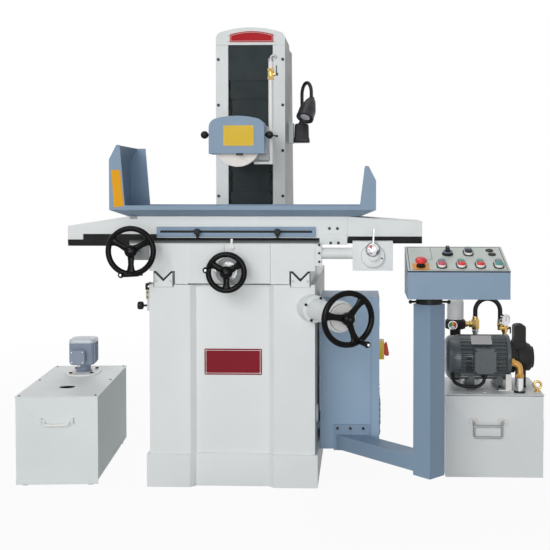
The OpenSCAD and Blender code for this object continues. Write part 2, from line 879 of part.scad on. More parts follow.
// Brass fittings, a looped hose with its gauge, the pump's return elbow and a lifting eye
module hydraulic_lines() {
    pipe = 9;
    nut = 11;
    low = hose_z - 40;
    arch = hose_z + 30;
    far_x = hose_x + 2 * hose_bend;
    gauge_x = far_x + 22;
    elbow = [motor_x1 + 26, motor_y - motor_dia / 2 - 23];
    eye = [oil_x0 + oil_w - 12, oil_y0 + 60];
    color("darkgoldenrod") {
        bar_x(filter_x + filter_out, hose_x + pipe, filter_y, filter_z - 20, pipe);
        bar_z(hose_x, filter_y, filter_z - 20 - pipe, hose_z + 10, nut);
        bar_z(far_x, filter_y, low, hose_z - 18, nut);
        bar_x(far_x, gauge_x + 14, filter_y, low, pipe);
        bar_z(gauge_x, filter_y, oil_lid_z, hose_z - 12, nut);
        bar_z(elbow[0], elbow[1], oil_lid_z + 57, oil_lid_z + 106, 13);
        bar_x(elbow[0] - 31, elbow[0], elbow[1], oil_lid_z + 106, 13);
        translate([eye[0], eye[1], oil_lid_z + 22]) rotate([90, 0, 0]) bend(13, 4, 360);
        bar_z(eye[0], eye[1], oil_lid_z, oil_lid_z + 9, 6);
    }
    color("silver") {
        bar_y(gauge_x, filter_y - 28, filter_y - 12, hose_z + 6, 24);
        bar_y(gauge_x, filter_y - 12, filter_y, hose_z - 2, 7);
        bar_z(gauge_x, filter_y, hose_z - 12, hose_z + 8, 7);
        bar_z(elbow[0], elbow[1], oil_lid_z + 6, oil_lid_z + 57, 10);
        bar_z(elbow[0], elbow[1], oil_lid_z, oil_lid_z + 6, 22);
    }
    color("black") {
        bar_z(hose_x, filter_y, hose_z + 10, arch, hose_r);
        bar_z(far_x, filter_y, hose_z - 18, arch, hose_r);
        translate([hose_x + hose_bend, filter_y, arch]) rotate([90, 0, 0]) bend(hose_bend, hose_r, 180);
    }
}

module work_lamp() {
    box_top = lamp_z + lamp_box[2] / 2;
    color("black") {
        span([lamp_x, lamp_y - lamp_box[1] / 2, lamp_z - lamp_box[2] / 2],
            [lamp_x + lamp_box[0], lamp_y + lamp_box[1] / 2, box_top]);
        translate([neck_foot[0], neck_foot[1], 0]) rotate([0, 0, neck_turn]) {
            bar_z(0, 0, box_top, neck_top, lamp_r);
            translate([neck_bend, 0, neck_top]) rotate([90, 0, 0]) bend(neck_bend, lamp_r, 180);
            bar_z(2 * neck_bend, 0, bell_z - 12, neck_top, lamp_r);
            translate([2 * neck_bend, 0, bell_z]) rotate([0, 0, -neck_turn])
                rotate([bell_tilt[0], bell_tilt[1], 0]) rotate([180, 0, 0]) rotate_extrude()
                    polygon([[0, -8], [14, -8], [22, 8], [bell_r - 2, 50], [bell_r, 60],
                        [bell_r, bell_l], [0, bell_l]]);
        }
    }
}

module oiler() {
    x = -base_w / 2;
    color("darkkhaki") difference() {
        span([x - oiler_t, oiler_y - oiler_half, oiler_z - 18], [x, oiler_y + oiler_half, base_h]);
        bar_x(x - oiler_t - slim, x - 2, oiler_y, oiler_z, oiler_pin_r + run_clear);
    }
}

module cap_screw_y(x, y, z, r) {
    bar_y(x, y - r * 0.6, y, z, r);
}

module cap_screw_z(x, y, z, r) {
    bar_z(x, y, z, z + r * 0.6, r);
}

module socket_screws() {
    color("dimgray") {
        for (s = [-1, 1], k = [0:3])
            cap_screw_y(s * (column_w / 2 - screw_in), column_y, base_h + screw_foot + screw_pitch * k, 7);
        for (s = [-1, 1], t = [-1, 1])
            cap_screw_y(s * way_gap / 2 + t * way_w * 0.36, base_y0 - sheet, base_h + 14, 5);
        for (x = [arm_x - 45, arm_x + 5, arm_x + 55]) cap_screw_y(x, -cabinet_y - 6, arm_z + arm_h + 25, 6);
        on_coolant() for (x = [10, coolant_w - 10], y = [12, coolant_d / 2, coolant_d - 12])
            cap_screw_z(x, y, coolant_z1 + lid_t, 6);
        for (x = [oil_x0 + 8, oil_x0 + oil_w - 8], y = [oil_y0 + 8, oil_y0 + oil_d - 8])
            cap_screw_z(x, y, oil_lid_z, 6);
    }
}

module saddle() {
    half = base_w / 2;
    inner = way_gap / 2 - way_w / 2 - 4;
    z0 = way_top + way_clear;
    vee = vee_depth - way_clear * 2;
    color("gainsboro") difference() {
        union() {
            span([-half, saddle_y0, z0], [half, saddle_y1, deck_z]);
            span([-inner, saddle_y0, base_h + 2], [inner, saddle_y0 + apron_t, z0]);
            span([-half, saddle_y0, deck_z], [half, saddle_y0 + 20, deck_z + lip_h]);
            for (s = [-1, 1]) prism_y(saddle_y0, saddle_y1, [[s * way_gap / 2 - vee, z0],
                [s * way_gap / 2 + vee, z0], [s * way_gap / 2, z0 - vee]]);
            for (y = rail_y) span([-half, y - rail_w / 2, deck_z], [half, y + rail_w / 2, table_z0]);
            span([gear_case_x, saddle_y0 + 30, deck_z - 47], [-half, rack_y - 4, deck_z + 8]);
        }
        span([cross_x - nut_w / 2 - 5, saddle_y0 + apron_t, z0 - slim],
            [cross_x + nut_w / 2 + 5, saddle_y1 + slim, cross_z + 38]);
        bar_y(cross_x, saddle_y0 - slim, saddle_y0 + apron_t + slim, cross_z, cross_r + run_clear);
        bar_y(table_wheel_x, saddle_y0, rack_y, pinion_z, shaft_r + run_clear);
    }
}

module table_cylinder() {
    color("dimgray") difference() {
        union() {
            bar_x(-cyl_half, cyl_half, -table_y, cyl_z, cyl_r);
            for (s = [-1, 1]) span([s * cyl_half * 0.8 - 20, -table_y - 24, deck_z],
                [s * cyl_half * 0.8 + 20, -table_y + 24, cyl_z]);
        }
        bar_x(-cyl_half + 15, cyl_half - 15, -table_y, cyl_z, cyl_r - cyl_wall);
        bar_x(-cyl_half - slim, cyl_half + slim, -table_y, cyl_z, rod_r + run_clear);
    }
}

module speed_valve() {
    tube_z = valve_z0 + 8;
    color("gainsboro") difference() {
        union() {
            span([valve_x0, valve_y - 28, valve_z0 - 36],
                [valve_x0 + valve_flange, valve_y + 28, valve_z0 + 43]);
            bar_x(valve_x0 + valve_flange, block_x0, valve_y, tube_z, valve_tube_r);
            span([block_x0, block_y0, valve_z0 - block_half_h],
                [block_x0 + block_w, valve_y + 30, valve_z0 + block_half_h]);
            bar_y(knob_x, block_y0 - dial_t, block_y0, dial_z, dial_r);
        }
        bar_y(knob_x, block_y0 - dial_t - slim, block_y0 + 20, knob_z, knob_stem_r + run_clear);
    }
}

module worktable() {
    pad_x0 = table_mid - pad_l / 2;
    color("gainsboro") difference() {
        union() {
            span([table_x0, table_y0, table_z0], [table_x1, table_y1, table_z1]);
            span([pad_x0, -table_y - pad_w / 2, table_z1], [pad_x0 + pad_l, -table_y + pad_w / 2, pad_z]);
        }
        span([table_x0 - slim, -table_y - channel_w / 2, table_z0 - slim],
            [table_x1 + slim, -table_y + channel_w / 2, channel_top]);
        span([table_x0 - slim, -table_y - slot_w / 2, pad_z - 27],
            [table_x1 + slim, -table_y + slot_w / 2, pad_z + slim]);
        span([table_x0 - slim, -table_y - slot_w * 0.85, pad_z - 27],
            [table_x1 + slim, -table_y + slot_w * 0.85, pad_z - 16]);
    }
}

// A sheet hood over a table end: outline in X and Z, open below and towards the casting
module end_hood(x0, x1, z_in, z_out, z_foot) {
    s = sign(x1 - x0);
    color("whitesmoke") difference() {
        prism_y(table_y0, table_y1, [[x0, z_foot], [x0, z_in], [x1, z_out], [x1, z_foot]]);
        prism_y(table_y0 + sheet, table_y1 - sheet, [[x0 - s, z_foot - slim], [x0 - s, z_in - sheet],
            [x1 - s * sheet, z_out - sheet], [x1 - s * sheet, z_foot - slim]]);
    }
}

module table_end_covers() {
    difference() {
        end_hood(table_x0, table_x0 - left_end_l, table_z1, table_z1 - left_end_drop, left_foot);
        span([step_x, table_y0 - slim, left_foot - slim], [table_x0 + slim, table_y1 + slim, step_z]);
    }
    end_hood(table_x1, table_x1 + right_end_l, table_z1, table_z1 - right_end_drop, right_foot);
}

module way_skirts() {
    color("black") for (y = [table_y0, table_y1 - sheet]) {
        span([table_x1, y, skirt_z0], [table_x1 + right_end_l, y + sheet, right_foot]);
        span([table_x0 - left_end_l, y, skirt_z0], [table_x0, y + sheet, left_foot]);
        span([step_x, y, left_foot], [table_x0, y + sheet, step_z]);
    }
}

// The pan's shape between its foot and its rim, drawn in by an inset
module pan_shape(inset, lift) {
    foot_half = tray_half - flange_w;
    hull() {
        translate([table_mid - foot_half + inset, table_y0 + inset, table_z1 + lift])
            cube([2 * (foot_half - inset), table_w - 2 * inset, 0.01]);
        translate([table_mid - tray_half + inset, -table_y - tray_d / 2 + inset,
            table_z1 + tray_bevel + lift])
            cube([2 * (tray_half - inset), tray_d - 2 * inset, 0.01]);
    }
}

// A guard's end wall and its leaning strip, in X from the table's middle
module guard_wall(s, high) {
    z1 = table_z1 + high;
    zb = z1 - guard_lean_h;
    prism_y(-table_y - tray_d / 2, -table_y + tray_d / 2, [for (p = [[0, table_z1 + tray_bevel], [0, zb],
        [guard_lean, z1], [guard_lean + sheet, z1], [sheet, zb - 1], [sheet, table_z1 + tray_bevel]])
        [table_mid + s * (tray_half - p[0]), p[1]]]);
}

// A guard's front or back flange, wider by more
module guard_flange(s, high, y0, more = 0) {
    z1 = table_z1 + high;
    prism_y(y0, y0 + sheet, [for (p = [[0, table_z1 + tray_bevel], [0, z1 - guard_lean_h], [guard_lean, z1],
        [guard_lean + 13 + more, z1], [flange_w + more, table_z1 + tray_h],
        [flange_w + more, table_z1 + tray_bevel]])
        [table_mid + s * (tray_half - p[0]), p[1]]]);
}

module splash_tray() {
    y0 = -table_y - tray_d / 2;
    y1 = y0 + tray_d;
    lip_half = tray_half - flange_w;
    color("lightsteelblue") {
        difference() {
            pan_shape(0, 0);
            pan_shape(sheet, sheet);
            span([table_mid - pad_l / 2 - pass_gap, -table_y - pad_w / 2 - pass_gap, table_z1 - slim],
                [table_mid + pad_l / 2 + pass_gap, -table_y + pad_w / 2 + pass_gap, pad_z]);
        }
        for (y = [y0, y1 - sheet]) {
            span([table_mid - lip_half, y, table_z1 + tray_bevel],
                [table_mid + lip_half, y + sheet, table_z1 + tray_h]);
            guard_flange(-1, left_guard_h, y, y == y0 ? 0 : back_more);
            guard_flange(1, right_guard_h, y);
        }
        guard_wall(-1, left_guard_h);
        guard_wall(1, right_guard_h);
    }
}

module stop_rail() {
    bracket_x1 = table_x1 - 2;
    color("gainsboro") span([bracket_x1 - bracket_l, table_y0 - bracket_t, table_z0 - bracket_h + bracket_up],
        [bracket_x1, table_y0, table_z0 + bracket_up]);
    color("steelblue") difference() {
        span([stop_x0, table_y0 - stop_t, stop_z0], [stop_x0 + stop_l, table_y0, stop_z0 + stop_h]);
        span([stop_x0 + 14, table_y0 - stop_t - slim, stop_slot_z - 4],
            [stop_x0 + stop_l - 14, table_y0 - 3, stop_slot_z + 4]);
    }
}

module table_drive() {
    rod_x0 = table_x0 - left_end_l + sheet;
    rod_x1 = table_x1 + right_end_l - sheet;
    color("silver") {
        bar_x(rod_x0, rod_x1, -table_y, cyl_z, rod_r);
        bar_x(table_mid - 20, table_mid + 20, -table_y, cyl_z, cyl_r - cyl_wall - run_clear);
        for (x = [rod_x0, rod_x1 - rod_end]) span([x, -table_y - 40, cyl_z - 10],
            [x + rod_end, -table_y + 40, cyl_z + 24]);
        span([table_wheel_x - table_right - 10, rack_y, rack_z0],
            [table_wheel_x + table_left + 10, rack_y + rack_t, table_z0]);
    }
}

module wheelhead() {
    half = head_w / 2;
    color("gainsboro") difference() {
        union() {
            span([-half, head_y0, neck_z0], [half, carriage_y0, neck_z1]);
            span([-carriage_half, carriage_y0, neck_z0 - 40], [carriage_half, carriage_y1, neck_z1 + 30]);
        }
        bar_y(0, head_y0 - slim, carriage_y1 + slim, spindle_z, spindle_dia / 2 + run_clear);
        bar_z(screw_x, screw_y, neck_z0 - 41, neck_z1 + 31, screw_r + run_clear);
    }
}

module spindle_motor() {
    color("slategray") difference() {
        bar_y(0, carriage_y1, carriage_y1 + stator_l, spindle_z, stator_r);
        bar_y(0, carriage_y1 - slim, carriage_y1 + stator_l - 10, spindle_z, rotor_r + 1);
    }
}

module guard_outline(inset) {
    arched_outline(guard_half - inset, guard_z0, guard_top - inset, guard_rise, guard_shoulder - inset);
}

module guard_slab(y0, y1, inset) {
    translate([0, y1, 0]) rotate([90, 0, 0]) linear_extrude(y1 - y0) guard_outline(inset);
}

module wheel_guard() {
    color("lightsteelblue") difference() {
        guard_slab(guard_y0 + guard_plate, guard_y1, 0);
        translate([0, 0, -slim]) guard_slab(guard_y0, guard_y1 - guard_plate, 5);
        bar_y(0, guard_y0, guard_y1 + slim, spindle_z, spindle_dia / 2 + 6);
    }
}

module guard_cover() {
    color("lightsteelblue") guard_slab(guard_y0, guard_y0 + guard_plate, 0);
    color("black") for (s = [-1, 1])
        translate([s * guard_half, guard_y0 + guard_plate + 12, spindle_z + 32]) rotate([0, s * 90, 0]) {
        cylinder(h = 8, r = 5);
        translate([0, 0, 18]) sphere(r = 15);
    }
}

// The pipe beside the guard, with its stop valve, hose barb, stay and nozzle
module coolant_pipe() {
    elbow_r = 10;
    barb_r = 5.5;
    nozzle_x = pipe_x - nozzle_l;
    stay_z = spindle_z + 40;
    barb_z = pipe_z1 + 10;
    color("whitesmoke") {
        bar_z(pipe_x, pipe_y, pipe_z0 - nozzle_r, pipe_z1, pipe_r);
        bar_x(nozzle_x, pipe_x, pipe_y, pipe_z0, nozzle_r);
        bar_x(guard_half, pipe_x, pipe_y, stay_z, 5);
    }
    color("darkgoldenrod") {
        bar_z(pipe_x, pipe_y, valve_z - 22, valve_z + 22, valve_body_r);
        bar_x(pipe_x, pipe_x + valve_neck, pipe_y, valve_z, 9);
    }
    color("silver") {
        bar_z(pipe_x, pipe_y, pipe_z1, barb_z, pipe_r + 1.5);
        translate([pipe_x + elbow_r, pipe_y, barb_z]) rotate([90, 0, 0]) bend(elbow_r, barb_r, 180);
    }
}

module head_covers() {
    y = cover_y + 2 * layer;
    color("darkslategray") {
        span([-cover_half, y, neck_z1], [cover_half, y + cover_t, neck_z1 + head_cover_up]);
        span([-cover_half, y, neck_z0 - head_cover_down], [cover_half, y + cover_t, neck_z0]);
    }
}

module telescopic_covers() {
    y = cover_y + layer;
    mid_top = column_z1 - 24;
    color("darkslategray") {
        span([-cover_half - 8, y, top_cover_z - 78], [cover_half + 8, y + cover_t, mid_top]);
        span([-cover_half - 8, y, base_h + 105], [cover_half + 8, y + cover_t, low_cover_z + 60]);
    }
}

module spindle() {
    r = spindle_dia / 2;
    y0 = -wheel_y - wheel_w / 2;
    color("silver") {
        bar_y(0, y0 - 16, carriage_y1 + 4, spindle_z, r);
        bar_y(0, y0 - 12, y0, spindle_z, flange_r);
        bar_y(0, y0 + wheel_w, y0 + wheel_w + 12, spindle_z, flange_r);
        bar_y(0, carriage_y1 + 4, carriage_y1 + stator_l - 20, spindle_z, rotor_r);
    }
}

module grinding_wheel() {
    y0 = -wheel_y - wheel_w / 2;
    color("mistyrose") difference() {
        bar_y(0, y0, y0 + wheel_w, spindle_z, wheel_dia / 2);
        bar_y(0, y0 - slim, y0 + wheel_w + slim, spindle_z, spindle_dia / 2 + run_clear);
    }
}

module table_handwheel() {
    y = saddle_y0 - wheel_out;
    color("black") {
        translate([table_wheel_x, y, pinion_z]) rotate([90, 0, 0])
            handwheel(table_wheel_dia, rack_y + rack_t - y, 30, -66, table_grip_lean);
        bar_y(table_wheel_x, rack_y, rack_y + rack_t, pinion_z, pinion_dia / 2);
    }
}

module cross_handwheel() {
    y = saddle_y0 - wheel_out;
    color("black") {
        translate([cross_x, y, cross_z]) rotate([90, 0, 0]) handwheel(cross_wheel_dia, 70, 30, 168, 0);
        bar_y(cross_x, y + 60, saddle_y0 - 2, cross_z, 34);
        bar_y(cross_x, y, cross_end, cross_z, cross_r);
    }
}

module elevation_handwheel() {
    color("black") on_lift_axis() handwheel(lift_wheel_dia, lift_run - 12, 60, -52, 0);
}

module elevation_shaft() {
    color("silver") bar_y(screw_x, gear_y + 16, screw_y - 21, lift_z, shaft_r);
}

module elevating_screw() {
    color("silver") bar_z(screw_x, screw_y, lift_z + 16, neck_z1 + lift_up + 60, screw_r);
}

module trip_dog(x) {
    y = table_y0 - stop_t;
    color("black") {
        span([x - 11, y - 12, stop_z0 + 2], [x + 11, y - pass_gap, stop_z0 + stop_h - 2]);
        bar_y(x, y - 30, y - 12, stop_slot_z, 12);
        span([x - 6, y - pass_gap, stop_slot_z - 3], [x + 6, y + 4, stop_slot_z + 3]);
    }
}

module trip_dog_left() {
    trip_dog(dog_left_x);
}

module trip_dog_right() {
    trip_dog(dog_right_x);
}

module reversing_lever() {
    x = 0;
    z = deck_z + 5;
    color("whitesmoke") {
        bar_y(x, saddle_y0 - 8, saddle_y0 - pass_gap, z, 9);
        span([x - 4, saddle_y0 - 8, z], [x + 4, saddle_y0 - 2, z + 30]);
    }
}

module speed_knob() {
    y = block_y0 - dial_t;
    color("silver") {
        bar_y(knob_x, y - 26, y - pass_gap, knob_z, knob_r);
        bar_y(knob_x, y - pass_gap, block_y0 + 19, knob_z, knob_stem_r);
        translate([knob_x, y - 16, knob_z]) rotate([0, 3, 0]) cylinder(h = 76, r = 4);
    }
}

module valve_lever() {
    x = pipe_x + valve_neck;
    color("silver") {
        bar_x(x + pass_gap, x + 8, pipe_y, valve_z, 8);
        span([x + 2, pipe_y - 4, valve_z], [x + 6, pipe_y + 4, valve_z + 34]);
    }
}

module cabinet_door() {
    color("lightsteelblue") difference() {
        span([door_x0, -cabinet_y, cabinet_up], [door_x1, cabinet_y1, cabinet_z1]);
        span([door_x0 - slim, -cabinet_y + sheet, cabinet_up + sheet],
            [door_x1 - sheet, cabinet_y1 - sheet, cabinet_z1 - sheet]);
        for (z = hinge_z) translate([door_x1, cabinet_y1, z - pass_gap])
            cylinder(h = knuckle_h + 2 * pass_gap, r = hinge_r + pass_gap);
    }
    color("lightsteelblue") for (z = hinge_z)
        bar_z(door_x1, cabinet_y1, z - pass_gap - knuckle_h, z - pass_gap, hinge_r);
    color("gold") difference() {
        span([door_x1, switch_y - 36, switch_z - 36], [door_x1 + 22, switch_y + 36, switch_z + 36]);
        bar_x(door_x1 + 4, door_x1 + 23, switch_y, switch_z, 8 + run_clear);
    }
}

module switch_handle() {
    x = door_x1 + 22;
    color("red") {
        bar_x(x - 17, x + pass_gap, switch_y, switch_z, 8);
        bar_x(x + pass_gap, x + 6, switch_y, switch_z, 24);
        span([x + 6, switch_y - 7, switch_z - 28], [x + 18, switch_y + 7, switch_z + 28]);
    }
}

module box_profile(inset, above) {
    y0 = box_y0 + inset;
    y1 = box_y0 + pendant_d - inset;
    rise = pendant_d * tan(pendant_tilt);
    slope = tan(pendant_tilt);
    prism_x(box_x0 + inset, box_x0 + pendant_w - inset, [[y0, box_z + inset], [y1, box_z + inset],
        [y1, box_z + pendant_front_h + rise - slope * inset + above],
        [y0, box_z + pendant_front_h + slope * inset + above]]);
}

module twin_outline(clear) {
    r = button_r + clear;
    for (s = [-1, 1]) translate([0, s * button_r]) circle(r = r);
    square([2 * r, 2 * button_r], center = true);
}

module pendant_box() {
    color("lightsteelblue") difference() {
        box_profile(0, 0);
        box_profile(sheet, 2 * sheet);
        bar_z(post_x, post_y, box_z - slim, box_z + sheet + slim, 20);
    }
    color("lightgray") difference() {
        on_panel([0, 0]) cube([pendant_w, panel_len, panel_t]);
        on_panel(stop_at) translate([0, 0, -slim]) cylinder(h = 2 * panel_t, r = 8 + run_clear);
        on_panel(selector_at) translate([0, 0, -slim]) cylinder(h = 2 * panel_t, r = 8 + run_clear);
        for (at = twin_at) on_panel(at) translate([0, 0, -slim]) linear_extrude(2 * panel_t)
            twin_outline(pass_gap);
    }
}

module emergency_stop() {
    color("red") on_panel(stop_at) {
        cylinder(h = panel_t + stop_neck_h, r = 8);
        translate([0, 0, panel_t + stop_neck_h - 6]) cylinder(h = 6, r = stop_r * 0.65);
        translate([0, 0, panel_t + stop_neck_h]) cylinder(h = stop_cap_h, r = stop_r);
    }
}

module selector_switch() {
    color("black") on_panel(selector_at) {
        translate([0, 0, 0]) cylinder(h = panel_t + 1, r = 8);
        translate([0, 0, panel_t + 1]) cylinder(h = selector_h, r = 14);
        translate([-3, -13, panel_t + 1 + selector_h]) cube([6, 26, wing_h]);
    }
}

module twin_button(k) {
    color("white") on_panel(twin_at[k]) linear_extrude(panel_t + button_h) twin_outline(0);
}

module bail(x, z, w, drop) {
    r = bail_r;
    half = w / 2;
    for (s = [-1, 1]) {
        bar_x(x + s * (half + 4) - 9, x + s * (half + 4) + 9, -9, z, r - 2);
        bar_z(x + s * (half - 5), -9, z - drop, z + r, r);
    }
    bar_x(x - half + 5 - r, x + half - 5 + r, -9, z - drop, r);
}

module coolant_bail() {
    color("whitesmoke") on_coolant() bail(coolant_w / 2, coolant_bail_z, coolant_bail_w, 30);
}

module hydraulic_bail() {
    color("whitesmoke") translate([oil_x0, oil_y0, 0]) bail(oil_bail_x, oil_bail_z, oil_bail_w, 60);
}

module oil_pump_knob() {
    x = -base_w / 2 - oiler_t;
    color("black") {
        bar_x(x - 30, x + oiler_t - 3, oiler_y, oiler_z, oiler_pin_r);
        bar_x(x - 36, x - 14, oiler_y, oiler_z, 15);
    }
}

base_casting();
column_casting();
column_cap();
way_guards();
feed_gear();
elevation_bracket();
electric_cabinet();
pendant_arm();
coolant_tank();
tank_lids();
coolant_pump();
hydraulic_tank();
hydraulic_motor();
hydraulic_pump();
oil_filter();
hydraulic_lines();
work_lamp();
oiler();
socket_screws();
saddle();
table_cylinder();
speed_valve();
worktable();
table_end_covers();
way_skirts();
splash_tray();
stop_rail();
table_drive();
wheelhead();
spindle_motor();
wheel_guard();
guard_cover();
coolant_pipe();
head_covers();
telescopic_covers();
spindle();
grinding_wheel();
table_handwheel();
cross_handwheel();
elevation_handwheel();
elevation_shaft();
elevating_screw();
trip_dog_left();
trip_dog_right();
reversing_lever();
speed_knob();
valve_lever();
cabinet_door();
switch_handle();
pendant_box();
emergency_stop();
selector_switch();
twin_button(0);  // twin_button_1
twin_button(1);  // twin_button_2
twin_button(2);  // twin_button_3
twin_button(3);  // twin_button_4
twin_button(4);  // twin_button_5
coolant_bail();
hydraulic_bail();
oil_pump_knob();
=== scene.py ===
import json
import math

import bmesh
import bpy
import numpy as np
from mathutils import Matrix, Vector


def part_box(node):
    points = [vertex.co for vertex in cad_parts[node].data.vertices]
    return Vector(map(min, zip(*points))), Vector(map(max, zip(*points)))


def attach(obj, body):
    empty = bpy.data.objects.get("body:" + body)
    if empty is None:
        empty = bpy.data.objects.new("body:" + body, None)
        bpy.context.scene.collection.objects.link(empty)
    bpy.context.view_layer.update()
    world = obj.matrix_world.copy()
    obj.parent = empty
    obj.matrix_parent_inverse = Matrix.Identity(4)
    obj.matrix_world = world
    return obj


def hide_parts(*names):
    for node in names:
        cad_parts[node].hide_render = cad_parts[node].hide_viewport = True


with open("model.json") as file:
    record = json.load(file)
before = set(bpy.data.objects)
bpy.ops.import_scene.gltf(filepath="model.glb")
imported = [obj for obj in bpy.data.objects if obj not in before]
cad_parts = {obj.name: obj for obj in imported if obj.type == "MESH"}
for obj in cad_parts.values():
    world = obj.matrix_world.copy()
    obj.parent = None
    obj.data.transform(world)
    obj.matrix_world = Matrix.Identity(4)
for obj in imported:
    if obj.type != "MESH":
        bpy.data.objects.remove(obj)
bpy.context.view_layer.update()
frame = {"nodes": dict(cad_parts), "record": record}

nodes = frame["nodes"]
bodyOf = {node: body for body, group in frame["record"]["behaviour"]["bodies"].items() for node in group}
slotOf = {entry["node"]: entry["material_slot"] for entry in frame["record"]["subparts"]}
print("frame loaded:", len(nodes), "nodes")

xAxis, yAxis, zAxis = np.eye(3)
perMetre = 1000  # pieces are drawn in millimetres, and the meshes are in metres
weld = 1e-6  # points closer than this become one
flatAngle = math.radians(0.5)  # faces that differ by less are one flat face


# lowest and highest corner of a CAD node: its box in metres, times a thousand
def corners(node):
    return [np.array(corner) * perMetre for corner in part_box(node)]


# a vector over its own length
def unit(vector):
    vector = np.asarray(vector, float)
    return vector / np.linalg.norm(vector)


# two directions square to an axis: upright crossed with the axis, and the axis crossed with that
def squareTo(axis):
    axis = unit(axis)
    side = unit(np.cross(zAxis if abs(axis[2]) < 0.9 else xAxis, axis))
    return np.array([side, np.cross(axis, side)])


# screen colour from 0 to 255 as light: straight near black, and a power of 2.4 above
def tone(color):
    screen = np.array(color) / 255
    return np.where(screen <= 0.04045, screen / 12.92, ((screen + 0.055) / 1.055) ** 2.4)


# finishes

coatGrain = {"patches": 3.5, "sheen": 22, "duller": 0.07, "shinier": 0.05, "depth": 0.0006}
metalGrain = {"darker": 0.88, "lighter": 1.06, "duller": 0.1, "shinier": 0.06, "depth": 0.0002}
noiseSpan = (0.3, 0.7)  # most of the noise lies between these


# sets a node's sockets: one whose value is another node's output is linked to it
def plug(tree, node, sockets):
    for name, value in sockets.items():
        if isinstance(value, bpy.types.NodeSocket):
            tree.links.new(value, node.inputs[name])
        else:
            node.inputs[name].default_value = value


# a node of one kind with its traits and sockets set
def addNode(tree, kind, sockets, **traits):
    node = tree.nodes.new("ShaderNode" + kind)
    for trait, value in traits.items():
        setattr(node, trait, value)
    plug(tree, node, sockets)
    return node


# a new material with its tree, its shader and its object coordinates
def newFinish(name):
    finish = bpy.data.materials.new(name + "Finish")
    finish.use_nodes = True
    tree = finish.node_tree
    coords = addNode(tree, "TexCoord", {})
    return finish, tree, tree.nodes["Principled BSDF"], coords.outputs["Object"]


# cloudy noise on object coordinates times the scale, stretched where the scale is a triple
def noise(tree, coords, scale, detail=3.0):
    if not np.isscalar(scale):
        coords = addNode(tree, "Mapping", {"Scale": scale, "Vector": coords}).outputs["Vector"]
        scale = 1.0
    return addNode(tree, "TexNoise", {"Detail": detail, "Scale": scale, "Vector": coords}).outputs["Fac"]


# colour between two: first * (1 - factor) + second * factor
def between(tree, factor, first, second):
    ends = {"A": (*first.tolist(), 1.0), "B": (*second.tolist(), 1.0), "Factor": factor}
    return addNode(tree, "Mix", ends, data_type="RGBA").outputs["Result"]


# noise stretched in proportion from its span to low and high
def spread(tree, factor, low, high):
    ends = {"From Min": noiseSpan[0], "From Max": noiseSpan[1], "To Min": low, "To Max": high, "Value": factor}
    return addNode(tree, "MapRange", ends).outputs["Result"]


# surface tilted by the slope of a height
def bump(tree, height, strength, depth):
    return addNode(tree, "Bump", {"Strength": strength, "Distance": depth, "Height": height}).outputs["Normal"]


# sprayed or moulded coat: colour that clouds by a share each way, uneven roughness, and fine peel as bump
def coatFinish(name, color, rough, cloud, peel, gloss, peelScale=420):
    finish, tree, shader, coords = newFinish(name)
    base, grain = tone(color), coatGrain
    patches = spread(tree, noise(tree, coords, grain["patches"], 5), 0, 1)
    sheen = noise(tree, coords, grain["sheen"])
    plug(tree, shader, {
        "Base Color": between(tree, patches, base * (1 - cloud), np.minimum(base * (1 + cloud), 1)),
        "Roughness": spread(tree, sheen, rough - grain["shinier"], rough + grain["duller"]),
        "Normal": bump(tree, noise(tree, coords, peelScale, 2), peel, grain["depth"]),
        "Specular IOR Level": gloss})
    return finish


# bare metal: one noise, stretched along the brush, shades its colour and roughness and marks it
def metalFinish(name, color, rough, brush, marks):
    finish, tree, shader, coords = newFinish(name)
    base, grain = tone(color), metalGrain
    streaks = noise(tree, coords, brush, 4)
    ends = base * grain["darker"], np.minimum(base * grain["lighter"], 1)
    plug(tree, shader, {
        "Base Color": between(tree, spread(tree, streaks, 0, 1), *ends),
        "Roughness": spread(tree, streaks, rough - grain["shinier"], rough + grain["duller"]),
        "Normal": bump(tree, streaks, marks, grain["depth"]),
        "Metallic": 1.0})
    return finish


# bonded grain: cells whose distance from their middle mixes body and speck, and stands up as bump
def grainFinish(name, color, speck, scale, rough):
    finish, tree, shader, coords = newFinish(name)
    cells = addNode(tree, "TexVoronoi", {"Scale": scale, "Vector": coords}).outputs["Distance"]
    plug(tree, shader, {
        "Base Color": between(tree, spread(tree, cells, 0, 1), tone(color), tone(speck)),
        "Normal": bump(tree, cells, 0.5, coatGrain["depth"]),
        "Roughness": rough})
    return finish


